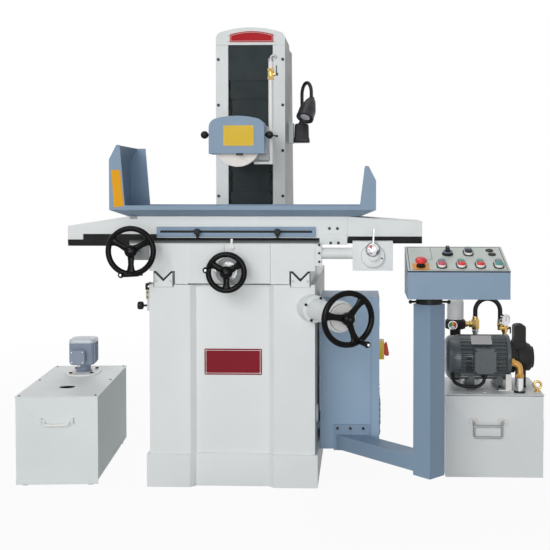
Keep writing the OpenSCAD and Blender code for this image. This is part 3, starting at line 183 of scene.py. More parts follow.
# screen colour, roughness, share of cloud, strength of peel, gloss, and the peel's scale where it is coarse
coats = {
    "cream": ((232, 236, 236), 0.4, 0.025, 0.06, 0.35),
    "creamDull": ((214, 218, 218), 0.45, 0.03, 0.06, 0.3),
    "tankPaint": ((234, 240, 240), 0.62, 0.03, 0.06, 0.12),
    # darker grey for right-facing sides: painted shade, where those sides fall in shadow
    "paintedShadeGrey": ((178, 183, 182), 0.42, 0.03, 0.06, 0.3),
    "blue": ((138, 161, 184), 0.42, 0.03, 0.06, 0.28),
    # paler blue for front faces: painted light, brightening the lit fronts
    "paintedLightBlue": ((155, 180, 204), 0.42, 0.03, 0.06, 0.28),
    "slate": ((42, 51, 53), 0.5, 0.08, 0.03, 0.15),
    "blackGloss": ((8, 8, 9), 0.13, 0.1, 0.03, 0.11),
    "black": ((22, 22, 24), 0.42, 0.1, 0.12, 0.22),
    "skirtBlack": ((20, 20, 21), 0.6, 0.15, 0.25, 0.2),
    "lampBlack": ((38, 37, 42), 0.4, 0.08, 0.15, 0.3),
    "rubber": ((24, 24, 25), 0.5, 0.1, 0.3, 0.25),
    "motor": ((86, 94, 98), 0.28, 0.07, 0.15, 0.45),
    "pumpBlack": ((33, 33, 32), 0.5, 0.2, 0.5, 0.25, 160),
    "pump": ((140, 151, 170), 0.4, 0.05, 0.12, 0.5),
    "pumpPale": ((206, 212, 220), 0.3, 0.06, 0.05, 0.5),
    "redPlate": ((188, 36, 44), 0.45, 0.04, 0.02, 0.1),
    "maroon": ((134, 28, 42), 0.45, 0.06, 0.02, 0.12),
    "gold": ((230, 192, 56), 0.42, 0.05, 0.02, 0.2),
    "platePale": ((226, 222, 218), 0.4, 0.03, 0.02, 0.5),
    "red": ((228, 42, 38), 0.25, 0.03, 0.02, 0.5),
    "rose": ((205, 74, 92), 0.28, 0.03, 0.02, 0.5),
    "teal": ((66, 150, 140), 0.28, 0.03, 0.02, 0.5),
    "greyBlue": ((108, 128, 150), 0.28, 0.03, 0.02, 0.5),
    "white": ((240, 240, 238), 0.3, 0.02, 0.03, 0.5),
    "orange": ((236, 166, 62), 0.4, 0.03, 0.02, 0.5),
    "yellow": ((255, 212, 16), 0.32, 0.03, 0.04, 0.5),
    "green": ((70, 160, 80), 0.4, 0.03, 0.02, 0.5),
    "amber": ((236, 168, 26), 0.45, 0.05, 0.03, 0.15),
    "beige": ((203, 196, 178), 0.42, 0.05, 0.08, 0.5),
    "dialGrey": ((150, 154, 156), 0.35, 0.05, 0.02, 0.5),
    "lens": ((196, 197, 204), 0.12, 0.1, 0.02, 0.8),
    # grey band under the table's edge: painted shade of the gap down to the saddle
    "paintedGapShade": ((146, 148, 146), 0.6, 0.1, 0.2, 0.2),
    "canister": ((255, 255, 255), 0.35, 0.01, 0.06, 0.4),
    "panel": ((214, 222, 216), 0.42, 0.02, 0.03, 0.5),
    "line": ((36, 39, 42), 0.5, 0.05, 0.02, 0.3),
}
# screen colour, roughness, brush scale along x, y and z, strength of its marks
metals = {
    "steel": ((186, 188, 190), 0.3, (30, 900, 900), 0.08),
    "tin": ((150, 150, 152), 0.4, (30, 900, 900), 0.08),
    "iron": ((128, 130, 132), 0.42, (30, 900, 900), 0.08),
    "screwDark": ((58, 59, 62), 0.42, (300, 300, 300), 0.08),
    "chrome": ((222, 223, 226), 0.1, (90, 90, 90), 0.02),
    "brass": ((208, 176, 112), 0.26, (200, 200, 200), 0.08),
    "bronze": ((192, 148, 84), 0.3, (200, 200, 200), 0.08),
}
finishes = {name: coatFinish(name, *values) for name, values in coats.items()}
finishes |= {name: metalFinish(name, *values) for name, values in metals.items()}
finishes["abrasive"] = grainFinish("abrasive", (255, 252, 248), (246, 238, 232), 700, 0.9)
print("finishes made:", len(finishes))


# mesh building: a part is its points in millimetres and its faces


# angles evenly round a full turn
def fullTurn(count):
    return np.linspace(0, 2 * np.pi, count, endpoint=False)


# points of a unit circle: cosine and sine of the angles
def onCircle(angle):
    return np.stack([np.cos(angle), np.sin(angle)], -1)


# points round a centre in space: center + radius * (cos * across + sin * up)
def circleAt(center, radius, angles, across=xAxis, up=zAxis):
    return np.asarray(center) + radius * onCircle(angles) @ np.array([across, up])


# quads between the points of a grid, wrapped round where a direction is closed
def gridQuads(rows, cols, closeRows=False, closeCols=False):
    i = np.arange(rows if closeRows else rows - 1)[:, None]
    j = np.arange(cols if closeCols else cols - 1)[None, :]
    nextI, nextJ = (i + 1) % rows, (j + 1) % cols
    corner = np.broadcast_arrays(i * cols + j, i * cols + nextJ, nextI * cols + nextJ, nextI * cols + j)
    return np.stack(corner, -1).reshape(-1, 4).tolist()


# quads of a tube of rings, with a flat face over the first ring and one over the last
def closedTube(rows, cols):
    last = rows * cols
    return gridQuads(rows, cols, closeCols=True) + [list(range(cols)), list(range(last - cols, last))]


# profile of (distance along the axis, radius) turned about the axis: origin + distance * axis + radius * ring
def lathe(origin, axis, profile, segments=40):
    along, radius = np.asarray(profile, float).T[:, :, None, None]
    ring = onCircle(fullTurn(segments)) @ squareTo(axis)
    points = np.asarray(origin) + along * unit(axis) + radius * ring
    return points.reshape(-1, 3), closedTube(len(profile), segments)


# the same with a closed profile, so that it is open in the middle
def ringLathe(origin, axis, profile, segments=48):
    points = lathe(origin, axis, profile, segments)[0]
    return points, gridQuads(len(profile), segments, closeRows=True, closeCols=True)


# straight runs between corners, each corner a curve of (1-t)^2 start + 2t(1-t) corner + t^2 end
def roundedPath(points, radius, steps=7):
    points = np.asarray(points, float)
    t = np.linspace(0, 1, steps)[:, None]
    runs = [points[:1]]
    for before, corner, after in zip(points[:-2], points[1:-1], points[2:]):
        start, end = [corner + unit(to - corner) * min(radius, np.linalg.norm(to - corner) * 0.5)
                      for to in (before, after)]
        runs.append((1 - t) ** 2 * start + 2 * t * (1 - t) * corner + t ** 2 * end)
    return np.concatenate(runs + [points[-1:]])


# points at even steps along a path
def resample(path, count):
    path = np.asarray(path, float)
    run = np.concatenate([[0], np.cumsum(np.linalg.norm(np.diff(path, axis=0), axis=1))])
    steps = np.linspace(0, run[-1], count)
    return np.stack([np.interp(steps, run, path[:, k]) for k in range(3)], -1)


# round section carried along a path: path + radius * (cos * side + sin * other), where side turns with the path
def tube(path, radius, sides=14, closed=False):
    path = np.asarray(path, float)
    count = len(path)
    ahead = np.roll(path, -1, 0) - np.roll(path, 1, 0) if closed else np.gradient(path, axis=0)
    ahead = ahead / np.linalg.norm(ahead, axis=1)[:, None]
    side = [squareTo(ahead[0])[0]]
    for way in ahead[1:]:
        side.append(unit(side[-1] - way * np.dot(side[-1], way)))
    section = onCircle(fullTurn(sides)) @ np.stack([side, np.cross(ahead, side)], 1)
    points = path[:, None] + np.broadcast_to(radius, count)[:, None, None] * section
    faces = gridQuads(count, sides, closeRows=True, closeCols=True) if closed else closedTube(count, sides)
    return points.reshape(-1, 3), faces


# closed outline of (u, v) points drawn through a depth: at + u * across + v * up, and the same moved out
def slab(outline, depth, at, across=xAxis, up=zAxis):
    flat = np.asarray(at) + np.asarray(outline, float) @ np.array([across, up])
    return np.concatenate([flat, flat + depth * np.cross(across, up)]), closedTube(2, len(flat))


# box between two corners: each point is low + (0 or 1 on each axis) * (high - low)
def block(low, high):
    low, high = np.asarray(low, float), np.asarray(high, float)
    pick = np.array([[x, y, z] for x in (0, 1) for y in (0, 1) for z in (0, 1)])
    faces = [[0, 1, 3, 2], [4, 6, 7, 5], [0, 4, 5, 1], [2, 3, 7, 6], [0, 2, 6, 4], [1, 5, 7, 3]]
    return low + pick * (high - low), faces


# rectangle with arcs at its corners: a quarter circle turned by quarters and moved out to each corner
def roundRect(width, height, radius, steps=6):
    quarter = np.linspace(0, np.pi / 2, steps)
    reach = np.array([width / 2 - radius, height / 2 - radius])
    return np.concatenate([radius * onCircle(quarter + k * np.pi / 2) + reach * sign
                           for k, sign in enumerate([(1, 1), (-1, 1), (-1, -1), (1, -1)])])


# circle of points, or a star where the radius is a list that repeats
def circleOutline(radius, count=32):
    return np.resize(radius, count)[:, None] * onCircle(fullTurn(count))


# two half circles, a reach above and below the middle, joined by straight sides
def stadium(radius, reach, steps=12):
    arc = radius * onCircle(np.linspace(0, np.pi, steps)) + (0, reach)
    return np.concatenate([arc, -arc])


# piece of a disc between two angles: the middle and an arc
def sector(start, end, radius):
    return np.concatenate([[(0, 0)], radius * onCircle(np.radians(np.linspace(start, end, 12)))])


# straight sides and an arched top, whose radius is (half^2 + rise^2) / (2 rise)
def archedPlate(half, foot, shoulder, crown, steps=24):
    rise = crown - shoulder
    radius = (half ** 2 + rise ** 2) / (2 * rise)
    x = np.linspace(half, -half, steps)
    top = crown - radius + np.sqrt(radius ** 2 - x ** 2)
    return np.concatenate([[(-half, foot), (half, foot)], np.column_stack([x, top])])


# outlines with as many points each, at given heights along z, with flat ends
def stack(outlines, heights):
    rows, cols = len(outlines), len(outlines[0])
    return np.column_stack([np.concatenate(outlines), np.repeat(heights, cols)]), closedTube(rows, cols)


# flat frame between an outer and an inner outline with as many points, from a foot to a height above it
def ringSlab(outer, inner, foot, height):
    points = stack([outer, outer, inner, inner], foot + height * np.array([0, 1, 1, 0]))[0]
    return points, gridQuads(4, len(outer), closeRows=True, closeCols=True)


# ellipse carried along a line of centres: centre + half width * cos * across + half height * sin * up
def loft(centers, across, up, halfWidths, halfHeights, sides=20):
    cos, sin = onCircle(fullTurn(sides)).T[:, None, :, None]
    wide = np.asarray(halfWidths)[:, None, None] * cos * across
    high = np.asarray(halfHeights)[:, None, None] * sin * up
    return (np.asarray(centers)[:, None] + wide + high).reshape(-1, 3), closedTube(len(centers), sides)


# a part drawn with x across, y up and z out of a face: at + x * across + y * up + z * (across x up)
def onFace(part, at, across=xAxis, up=zAxis):
    return np.asarray(at, float) + part[0] @ np.array([across, up, np.cross(across, up)]), part[1]


# all parts of a piece moved onto a face
def allOnFace(parts, at, across=xAxis, up=zAxis):
    return {finish: [onFace(part, at, across, up) for part in group] for finish, group in parts.items()}


# copies of a part turned on a face: cos * across + sin * up, and cos * up - sin * across
def around(part, at, angles, across=xAxis, up=zAxis):
    return [onFace(part, at, cos * across + sin * up, cos * up - sin * across) for cos, sin in onCircle(angles)]


# low dome, a rivet or a screw's head: height * sine along the axis and radius * cosine across it
def dome(at, axis, radius, height):
    turn = np.linspace(0, np.pi / 2, 5)[:-1]
    profile = onCircle(turn)[:, ::-1] * (height, radius)
    return lathe(at, axis, np.concatenate([[[-0.5, radius]], profile]), 20)


# cap screw: a chamfered head with a round socket, as a stack of circles
def socketScrew(at, axis, radius, height):
    rim, socket = circleOutline(radius, 24), circleOutline(radius * 0.52, 24)
    part = stack([rim, rim, rim * 0.9, socket, socket], [-0.5, height * 0.8, height, height, height * 0.35])
    return onFace(part, at, *squareTo(axis))


# six-sided nut along an axis, a stack of hexagons drawn in at both ends
def hexNut(at, axis, radius, length):
    hexagon = circleOutline(radius, 6)
    part = stack([hexagon * 0.92, hexagon, hexagon, hexagon * 0.92], length * np.array([0, 0.14, 0.86, 1]))
    return onFace(part, at, *squareTo(axis))


# round bar between two points, a lathe along the line between them with chamfered ends
def bar(start, end, radius, chamfer=1.0, segments=28):
    axis = np.asarray(end, float) - start
    length = np.linalg.norm(axis)
    return lathe(start, axis, [(0, radius - chamfer), (chamfer, radius), (length - chamfer, radius),
                               (length, radius - chamfer)], segments)


# an object of some data, in the scene
def addObject(name, data):
    thing = bpy.data.objects.new(name, data)
    bpy.context.scene.collection.objects.link(thing)
    return thing


# mesh worked on as a solid: its points are welded, and then the work is done on it
def weldMesh(mesh, work):
    solid = bmesh.new()
    solid.from_mesh(mesh)
    bmesh.ops.remove_doubles(solid, verts=solid.verts, dist=weld)
    work(solid)
    solid.to_mesh(mesh)
    solid.free()


# object of a mesh: finishes, smooth faces, a bevel on edges past an angle, its body and the nodes it stands
# for; the slot is not used
def finishPiece(name, mesh, looks, body, slot, edge, steps, angle, stands):
    for finish in looks:
        mesh.materials.append(finishes[finish])
    mesh.polygons.foreach_set("use_smooth", np.ones(len(mesh.polygons), bool))
    mesh.set_sharp_from_angle(angle=math.radians(angle))
    piece = addObject(name, mesh)
    if edge:
        bevel = piece.modifiers.new("edges", "BEVEL")
        bevel.width = edge / perMetre
        bevel.segments = steps
        bevel.limit_method = "ANGLE"
        bevel.angle_limit = math.radians(angle)
        bevel.harden_normals = True
    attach(piece, body)
    if stands:
        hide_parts(*stands)


# parts by finish, joined into one mesh whose faces point outwards
def make(name, parts, body="machine", slot="cream_paint", edge=0.0, steps=2, angle=35, stands=()):
    points, faces, looks, offset = [], [], [], 0
    for look, group in enumerate(parts.values()):
        for spots, corner in group:
            points.append(spots)
            faces += [[v + offset for v in face] for face in corner]
            looks += [look] * len(corner)
            offset += len(spots)
    mesh = bpy.data.meshes.new(name)
    mesh.from_pydata((np.concatenate(points) / perMetre).tolist(), [], faces)
    mesh.polygons.foreach_set("material_index", looks)
    weldMesh(mesh, lambda solid: bmesh.ops.recalc_face_normals(solid, faces=solid.faces))
    finishPiece(name, mesh, parts, body, slot, edge, steps, angle, stands)


# a made piece that stands for a CAD node, on the node's body
def standFor(node, name, parts, **edges):
    make(name, parts, bodyOf[node], slotOf[node], stands=[node], **edges)


# a CAD node with rounded edges: a welded copy, its flat triangles joined, painted where a test of faces holds
def soften(node, finish, edge, paint):
    mesh = nodes[node].data.copy()
    mesh.name = node + "Soft"
    mesh.materials.clear()
    weldMesh(mesh, lambda solid: bmesh.ops.dissolve_limit(
        solid, angle_limit=flatAngle, verts=solid.verts, edges=solid.edges))
    count = len(mesh.polygons)
    centers, normals = np.empty(count * 3), np.empty(count * 3)
    mesh.polygons.foreach_get("center", centers)
    mesh.polygons.foreach_get("normal", normals)
    looks = np.zeros(count, int)
    for look, test in enumerate(paint.values(), 1):
        looks[test(centers.reshape(-1, 3).T * perMetre, normals.reshape(-1, 3).T)] = look
    mesh.polygons.foreach_set("material_index", looks)
    finishPiece(mesh.name, mesh, [finish, *paint], bodyOf[node], slotOf[node], edge, 2, 35, [node])


# castings and sheet covers that keep the CAD shape: finish, edge radius, faces painted by centre and direction

panelTilt = math.radians(17)
panelUp = np.array([0, -math.sin(panelTilt), math.cos(panelTilt)])
panelAcross = np.array([0, math.cos(panelTilt), math.sin(panelTilt)])
softEdges = {
    # right-facing sides of base, column and cap take the darker grey of painted shade
    "base_casting": ("cream", 6, {"paintedShadeGrey": lambda c, n: (n[0] > 0.9) & (c[0] > 300)}),
    "column_casting": ("cream", 2, {"paintedShadeGrey": lambda c, n: n[0] > 0.9}),
    "column_cap": ("cream", 4, {"paintedShadeGrey": lambda c, n: n[0] > 0.6}),
    "saddle": ("cream", 4, {"dialGrey": lambda c, n: c[0] < -308}),
    "worktable": ("cream", 1.5, {"iron": lambda c, n: c[2] > 1000.5}),
    "table_end_covers": ("cream", 2, {}),
    "speed_valve": ("cream", 3, {}),
    "wheelhead": ("cream", 6, {"slate": lambda c, n: c[1] > 160}),
    "wheel_guard": ("blue", 1.5, {}),
    "guard_cover": ("blue", 2, {"black": lambda c, n: np.abs(c[0]) > 107.2}),
    # front faces of the cabinet and its door take the paler blue of painted light
    "electric_cabinet": ("blue", 2.5, {"paintedLightBlue": lambda c, n: n[1] < -0.9}),
    "cabinet_door": ("blue", 2.5, {"paintedLightBlue": lambda c, n: n[1] < -0.9, "yellow": lambda c, n: c[0] > 548}),
    "pendant_arm": ("blue", 2.5, {"black": lambda c, n: c[2] > 694.5}),
    "pendant_box": ("blue", 2, {"panel": lambda c, n: panelUp @ n > 0.98}),
    "splash_tray": ("blue", 1, {}),
    "stop_rail": ("blue", 1, {
        "cream": lambda c, n: c[0] > 310,
        "black": lambda c, n: (np.abs(c[2] - 943) < 4.6) & (c[1] > -377.5) & (c[0] < 300)}),
    "way_guards": ("slate", 0.8, {"black": lambda c, n: c[1] < -440}),
    "coolant_tank": ("tankPaint", 2, {"black": lambda c, n: c[2] < 19}),
    "tank_lids": ("cream", 1.2, {}),
    "hydraulic_tank": ("cream", 2, {}),
    "elevation_bracket": ("cream", 3, {}),
    "grinding_wheel": ("abrasive", 1.2, {}),
    "head_covers": ("slate", 0.8, {}),
    "telescopic_covers": ("slate", 0.8, {}),
    "way_skirts": ("skirtBlack", 0.8, {}),
    "reversing_lever": ("white", 1, {}),
}
for node, dress in softEdges.items():
    soften(node, *dress)
print("castings softened:", len(softEdges))

plainNodes = {"feed_gear": "iron", "table_cylinder": "iron", "table_drive": "steel", "spindle_motor": "motor",
              "spindle": "steel", "elevation_shaft": "steel", "elevating_screw": "steel"}
for node, finish in plainNodes.items():
    nodes[node].data.materials.clear()
    nodes[node].data.materials.append(finishes[finish])
print("CAD nodes painted:", len(plainNodes))


# handwheels, drawn with x right, y up and z towards the operator, about the hub


# grip: a waisted root, a body that swells to a ball of radius * (sine, cosine), and a bright dot on the ball
def gripParts(root, tip, ball):
    root, tip = np.array(root, float), np.array(tip, float)
    length = np.linalg.norm(tip - root)
    swell = (length, 0) + ball * onCircle(np.linspace(-0.9, 1.5, 12))[:, ::-1]
    body = [(-8, 6), (4, 6), (6, 8.2), (14, 8.6), (length - ball, 8.8), *swell]
    return lathe(root, tip - root, body, 32), dome(tip + (ball - 1) * zAxis, zAxis, ball * 0.42, 2.4)


# spoke: an ellipse carried from hub to rim, its width waisted on the way and flared into the rim
def spokePart(turn, rim):
    t = np.linspace(0, 1, 12)
    out = np.append(onCircle(math.radians(turn)), 0)
    centers = (10 + t * (rim - 14))[:, None] * out + (-3 + 3 * t)[:, None] * zAxis
    widths = np.interp(t, [0, 0.3, 0.55, 0.8, 1], [15, 11.5, 10.5, 13, 21])
    return loft(centers, np.cross(zAxis, out), zAxis, widths, 7.5 - 1.5 * np.sin(np.pi * t))


# rim as a closed tube, domed hub and shaft as lathes, spokes, grip with its dot, and the hub's pin
def handwheelParts(spec):
    rim = spec["rim"]
    circle = np.column_stack([circleOutline(rim, 72), np.zeros(72)])
    hub = [(-30, 14), (-28, 17), (-10, 22), (4, 23), (9, 22), (14, 19), (18, 13), (19.5, 6)]
    black = [tube(circle, 10.3, 20, closed=True), lathe((0, 0, 0), zAxis, hub)]
    grip, dot = gripParts(spec["root"], spec["tip"], 11.5)
    return {"blackGloss": black + [spokePart(turn, rim) for turn in spec["spokes"]] + [grip],
            "steel": [bar((0, 0, -spec["reach"]), (0, 0, -29), 10)], "chrome": [dot],
            "screwDark": [dome((0, 0, 19), zAxis, 5, 2.4)]}


handwheels = {
    "table_handwheel": {"hub": (-356, -525, 878), "out": (0, -1, 0), "rim": 82, "reach": 150,
                        "spokes": (30, 150, 270), "root": (36, -82, 8), "tip": (-27, -83, 36)},
    "cross_handwheel": {"hub": (-10, -525, 802), "out": (0, -1, 0), "rim": 65, "reach": 120,
                        "spokes": (30, 150, 270), "root": (-63.6, 13.5, 10), "tip": (-63.6, 13.5, 66)},
    "elevation_handwheel": {"hub": (432, -748.2, 666), "out": (0.42262, -0.90631, 0), "rim": 87, "reach": 62,
                            "spokes": (50, 170, 290), "root": (38, -78, 10), "tip": (38, -78, 70)},
}
for node, spec in handwheels.items():
    hub, out = spec["hub"], unit(spec["out"])
    standFor(node, node + "Wheel", allOnFace(handwheelParts(spec), hub, np.cross(zAxis, out)), angle=40)

crossDial = {"at": (-10, -445, 802), "outer": 51, "bore": 37, "depth": 15, "clamp": (-59, -447, 802)}
at, outer, bore, depth, clampAt = crossDial.values()
profile = [(0, bore), (0, outer), (depth - 3, outer), (depth, outer - 3), (depth, bore)]
clamp = lathe(clampAt, -yAxis, [(0, 5), (14, 5), (15, 9), (22, 9), (24, 6)], 24)
make("crossDial", {"dialGrey": [ringLathe(at, -yAxis, profile, 64)], "steel": [clamp]}, "saddle", "steel")

crossCollar = {"foot": (-10, -447, 802), "face": (-10, -465, 802), "ticks": 36}
foot, face, count = crossCollar.values()
ticks = around(block((-0.6, 28, -0.2), (0.6, 33, 0.4)), face, fullTurn(count))
collar = lathe(foot, -yAxis, [(0, 33), (1, 34), (16, 34), (18, 32), (18, 12)], 56)
make("crossCollar", {"steel": [collar], "line": ticks}, "cross_handwheel", "steel", angle=30)

# the lift wheel's dial with its groove, and screws in a ring at the bracket's root, on the wheel's own axis
liftDial = {"outer": 46, "bore": 12, "face": -36, "back": -61, "groove": (-50, -46), "root": -284.5, "ring": 44,
            "screws": (65, 155, 245, 335)}
outer, bore, face, back, (low, high), root, ring, screws = liftDial.values()
hub, out = handwheels["elevation_handwheel"]["hub"], unit(handwheels["elevation_handwheel"]["out"])
profile = [(back, bore), (back, outer - 2), (back + 2, outer), (face - 2, outer), (face, outer - 2),
           (face, bore)]
groove = [(low, outer - 1), (low, outer + 0.7), (high, outer + 0.7), (high, outer - 1)]
make("liftDial", {"white": [lathe(hub, out, profile, 64)], "line": [ringLathe(hub, out, groove, 64)]},
     "elevation_handwheel", "steel")
spots = circleAt(hub + root * out, ring, np.radians(screws), np.cross(zAxis, out))
make("bracketScrews", {"screwDark": [socketScrew(spot, out, 5, 5) for spot in spots]}, slot="steel", angle=30)
print("handwheels and dials made")

# work lamp: flared box, ribbed neck bent over, deep bell with a lens

lampSpec = {"box": (212, 309, 1353), "foot": (213, 309, 1395), "turn": -62, "bend": 49, "top": 1524,
            "bellTop": 1493, "neck": 8, "rings": 240, "tilt": (-31, 15), "bell": 37, "length": 100}
boxAt, foot, turn, bend, top, bellTop, neck, rings, tilt, r, length = lampSpec.values()
caseSteps = {-42: (66, 64), -38: (70, 68), -24: (69, 67), -16: (63, 61), 34: (61, 59), 42: (54, 52)}
case = onFace(stack([roundRect(*size, 9) for size in caseSteps.values()], list(caseSteps)), boxAt, xAxis, yAxis)
boot = lathe(foot, zAxis, [(-3, 17), (4, 17), (8, 13), (20, 10.5), (22, 9)], 32)
heading = np.append(onCircle(math.radians(turn)), 0)
arch = circleAt((*foot[:2], top) + bend * heading, bend, np.linspace(0, np.pi, 40), -heading)
bellAt = np.array([*arch[-1][:2], bellTop])
neckPath = resample([foot - 2 * zAxis, *arch, bellAt - 4 * zAxis], rings)
ribs = neck * (0.88 + 0.12 * np.abs(np.sin(np.arange(rings) * np.pi / 4)))
(cosX, sinX), (cosY, sinY) = onCircle(np.radians(tilt))
bellAxis = np.array([-sinY, cosY * sinX, -cosY * cosX])
bell = ringLathe(bellAt, bellAxis, [
    (-8, 4), (-8, 13), (0, 17), (8, 22), (30, 29), (50, r - 2), (60, r), (90, r), (92, r + 1.2),
    (length, r + 1.2), (length, r - 7), (93, 24), (93, 19), (60, 19), (30, 17), (4, 8)], 56)
neckCap = lathe(bellAt, bellAxis, [(-14, 8), (-13, 11), (-2, 12)], 32)
lens = lathe(bellAt, bellAxis, [(90, 6), (91, 21), (95, 21), (97, 15), (97.6, 6)], 48)
standFor("work_lamp", "workLamp", {"lampBlack": [case, boot, tube(neckPath, ribs, 16), bell, neckCap],
                                   "lens": [lens]}, angle=40)
print("lamp made")

# coolant pipe with a brass stop valve, a hose barb, a stay and a nozzle

pipeSpec = {"x": 125.5, "y": -240, "foot": 1199.5, "top": 1600, "r": 9.5, "valve": 1549, "nozzleX": 59.5,
            "nozzleZ": 1205, "nozzleR": 5.5, "stayX": 106, "stayZ": 1319, "elbow": 10, "tube": 5.5}
x, y, foot, top, r, valve, nozzleX, nozzleZ, nozzleR, stayX, stayZ, elbow, tubeR = pipeSpec.values()
pipe = [bar((x, y, foot), (x, y, top), r), bar((nozzleX, y, nozzleZ), (x, y, nozzleZ), nozzleR)]
stay = [bar((stayX, y, stayZ), (x, y, stayZ), 5),
        ringLathe((x, y, stayZ - 8), zAxis, [(0, 9.4), (0, 12.5), (16, 12.5), (16, 9.4)], 32)]
brass = [hexNut((x, y, valve + z), zAxis, 14, 12) for z in (-22, 10)]
brass += [lathe((x, y, valve), zAxis, [(-12, 10), (-9, 11.5), (9, 11.5), (12, 10)], 28),
          bar((x, y, valve), (x + 18, y, valve), 8)]
bent = circleAt((x + elbow, y, top + 10), elbow, np.linspace(0, np.pi, 16), -xAxis)
barb = [tube([(x, y, top), *bent], tubeR, 16), lathe((x, y, top), zAxis, [(-1, 11), (8, 11), (10, 7)], 28)]
standFor("coolant_pipe", "coolantPipe", {"white": pipe, "steel": stay, "tin": barb, "brass": brass}, angle=40)

leverSpec = {"at": (145.5, -240, 1549), "thick": 4, "length": 34, "half": 5, "tip": 3.5}
at, thick, length, half, tip = leverSpec.values()
outline = [(-half, -6), (half, -6), (half, 10), (tip, length), (-tip, length), (-half, 10)]
handle = slab(outline, thick, at, yAxis, zAxis)
standFor("valve_lever", "valveLever", {"screwDark": [handle, hexNut(at + 3 * xAxis, xAxis, 6, 5)]}, edge=0.8)
print("coolant pipe made")

# trip dogs with star knobs, and the speed knob with its lever

dogSpec = {"z": 943, "front": -378.6, "knob": -389, "thick": 10, "star": [13, 13, 11, 10, 11],
           "outline": [(-7, 10), (-7, -13), (-2.5, -25), (2.5, -25), (7, -13), (7, 10)]}
z, front, knobY, thick, radii, outline = dogSpec.values()
star = circleOutline(radii, 50)
for node in ("trip_dog_left", "trip_dog_right"):
    x = np.mean(corners(node), axis=0)[0]
    knob = onFace(stack([star * 0.55, star * 0.6, star, star, star * 0.82], [0, 6, 8, 15, 18]), (x, knobY, z))
    tongue = block((x - 6, front + 0.2, z - 3), (x + 6, front + 4.6, z + 3))
    standFor(node, node + "Piece", {"black": [slab(outline, thick, (x, front, z)), knob, tongue]}, edge=0.8)

knobSpec = {"x": 518.5, "front": -481, "back": -455.5, "z": 882, "r": 24, "rodY": -471, "rod": 4, "length": 76,
            "lean": 3, "stem": (-456, -428)}
x, front, back, z, r, rodY, rodR, length, lean, stem = knobSpec.values()
depth = back - front
cap = lathe((x, back, z), -yAxis, [(0, 20), (2, r), (depth - 8, r), (depth - 3, r - 3), (depth, r - 9)], 48)
skirt = ringLathe((x, back, z), -yAxis, [(0.4, 20), (0.4, 25.5), (7, 25.5), (7, 20)], 48)
cos, sin = onCircle(math.radians(lean))
rod = bar((x, rodY, z), (x + length * sin, rodY, z + length * cos), rodR)
mark = slab(sector(100, 150, 19.5), 3, (x, front + 2.6, z))
standFor("speed_knob", "speedKnob", {"chrome": [cap, rod], "black": [skirt], "rose": [mark],
                                     "steel": [bar(*[(x, y, z) for y in stem], 6)]})
print("dogs and knobs made")

# pendant panel: outline, screws, bezels, buttons, emergency stop and selector

panel = {"corner": (636.5, -653.5, 817), "size": np.array([352, 240.5]), "thick": 4}
pendant = {"inset": 7, "screw": 16,
           "lines": [(90.8, 112, 92.2, 232), (70.8, 110.6, 92.2, 112), (70.8, 9, 72.2, 110.6)],
           "stop": (47, 40), "selector": (150, 160), "blanks": [(304, 197), (309, 158)], "button": 14,
           "twins": [((120, 52), "greyBlue", "rose"), ((188, 52), "teal", "red"), ((254, 52), "teal", "red"),
                     ((318, 52), "greyBlue", "teal"), ((225, 173), "greyBlue", "line")]}
inset, screw, lines, stopAt, selectorAt, blankSpots, radius, twins = pendant.values()
wide, deep = panel["size"]


# parts drawn on the panel's face, at corner + u * x + v * across the panel + its thickness up
def onPanel(at, *parts):
    foot = panel["corner"] + at[0] * xAxis + at[1] * panelAcross + panel["thick"] * panelUp
    return [onFace(part, foot, xAxis, panelAcross) for part in parts]


# frame round the panel between two insets from its edge, from a foot to a height above it
def panelFrame(insets, rounding, foot, height):
    outlines = [roundRect(*(panel["size"] - 2 * i), rounding) for i in insets]
    return onPanel(panel["size"] / 2, ringSlab(*outlines, foot, height))


frames = panelFrame((inset, inset + 2.2), 4, -0.5, 1.0) + panelFrame((-0.7, 1.2), 2, -5.4, 4.6)
frames += onPanel((0, 0), *[block((x0, y0, -0.5), (x1, y1, 0.5)) for x0, y0, x1, y1 in lines])
screws = onPanel((0, 0), *[dome((x, y, 0), zAxis, 5, 2.2) for x in (screw, wide - screw)
                           for y in (screw, deep - screw)])
black = onPanel((0, 0), *[lathe((*at, -0.5), zAxis, [(0, 14), (3, 14), (4.5, 12)], 32) for at in blankSpots])
bezel = ringSlab(stadium(radius + 4, radius), stadium(radius + 0.6, radius), -0.5, 4)
for at, rear, front in twins:
    black += onPanel(at, bezel)
ring = [(0, 16.2), (0, 20), (5, 20), (6.5, 18), (6.5, 16.2)]
stopRing = [(0, 13.6), (0, 16), (5.5, 16), (6.5, 15), (6.5, 13.6)]
for at, profile in ((selectorAt, ring), (stopAt, stopRing)):
    black += onPanel(at, ringLathe((0, 0, -0.5), zAxis, profile, 40))
plate = onPanel(stopAt, slab(roundRect(60, 60, 5), 1.3, (0, 0, -0.5), xAxis, yAxis))
make("panelTrim", {"line": frames, "steel": screws, "black": black, "orange": plate}, "pendant",
     "black_plastic", edge=0.4, steps=1)
oval = stadium(radius, radius)
half = np.concatenate([stadium(radius - 0.8, radius)[:12], [(-radius + 0.8, 2.4), (radius - 0.8, 2.4)]])
for k, (at, rear, front) in enumerate(twins, 1):
    node = f"twin_button_{k}"
    body = onPanel(at, stack([oval, oval, stadium(radius - 1, radius)], [-3.5, 10, 11]))
    shapes = [[half * (1, side), half * (1, side), half * (0.88, 0.92 * side)] for side in (1, -1)]
    caps = onPanel(at, *[stack(shape, [10.5, 14.6, 16.4]) for shape in shapes])
    standFor(node, node + "Piece", {"white": body, rear: caps[:1], front: caps[1:]}, angle=50)
mushroom = [(14, 10), (17, 18), (19, 20), (25, 20), (29, 18.5), (32, 14), (33.4, 7)]
neck = [(-3.5, 8), (7.5, 8), (7.5, 13), (15, 13)]
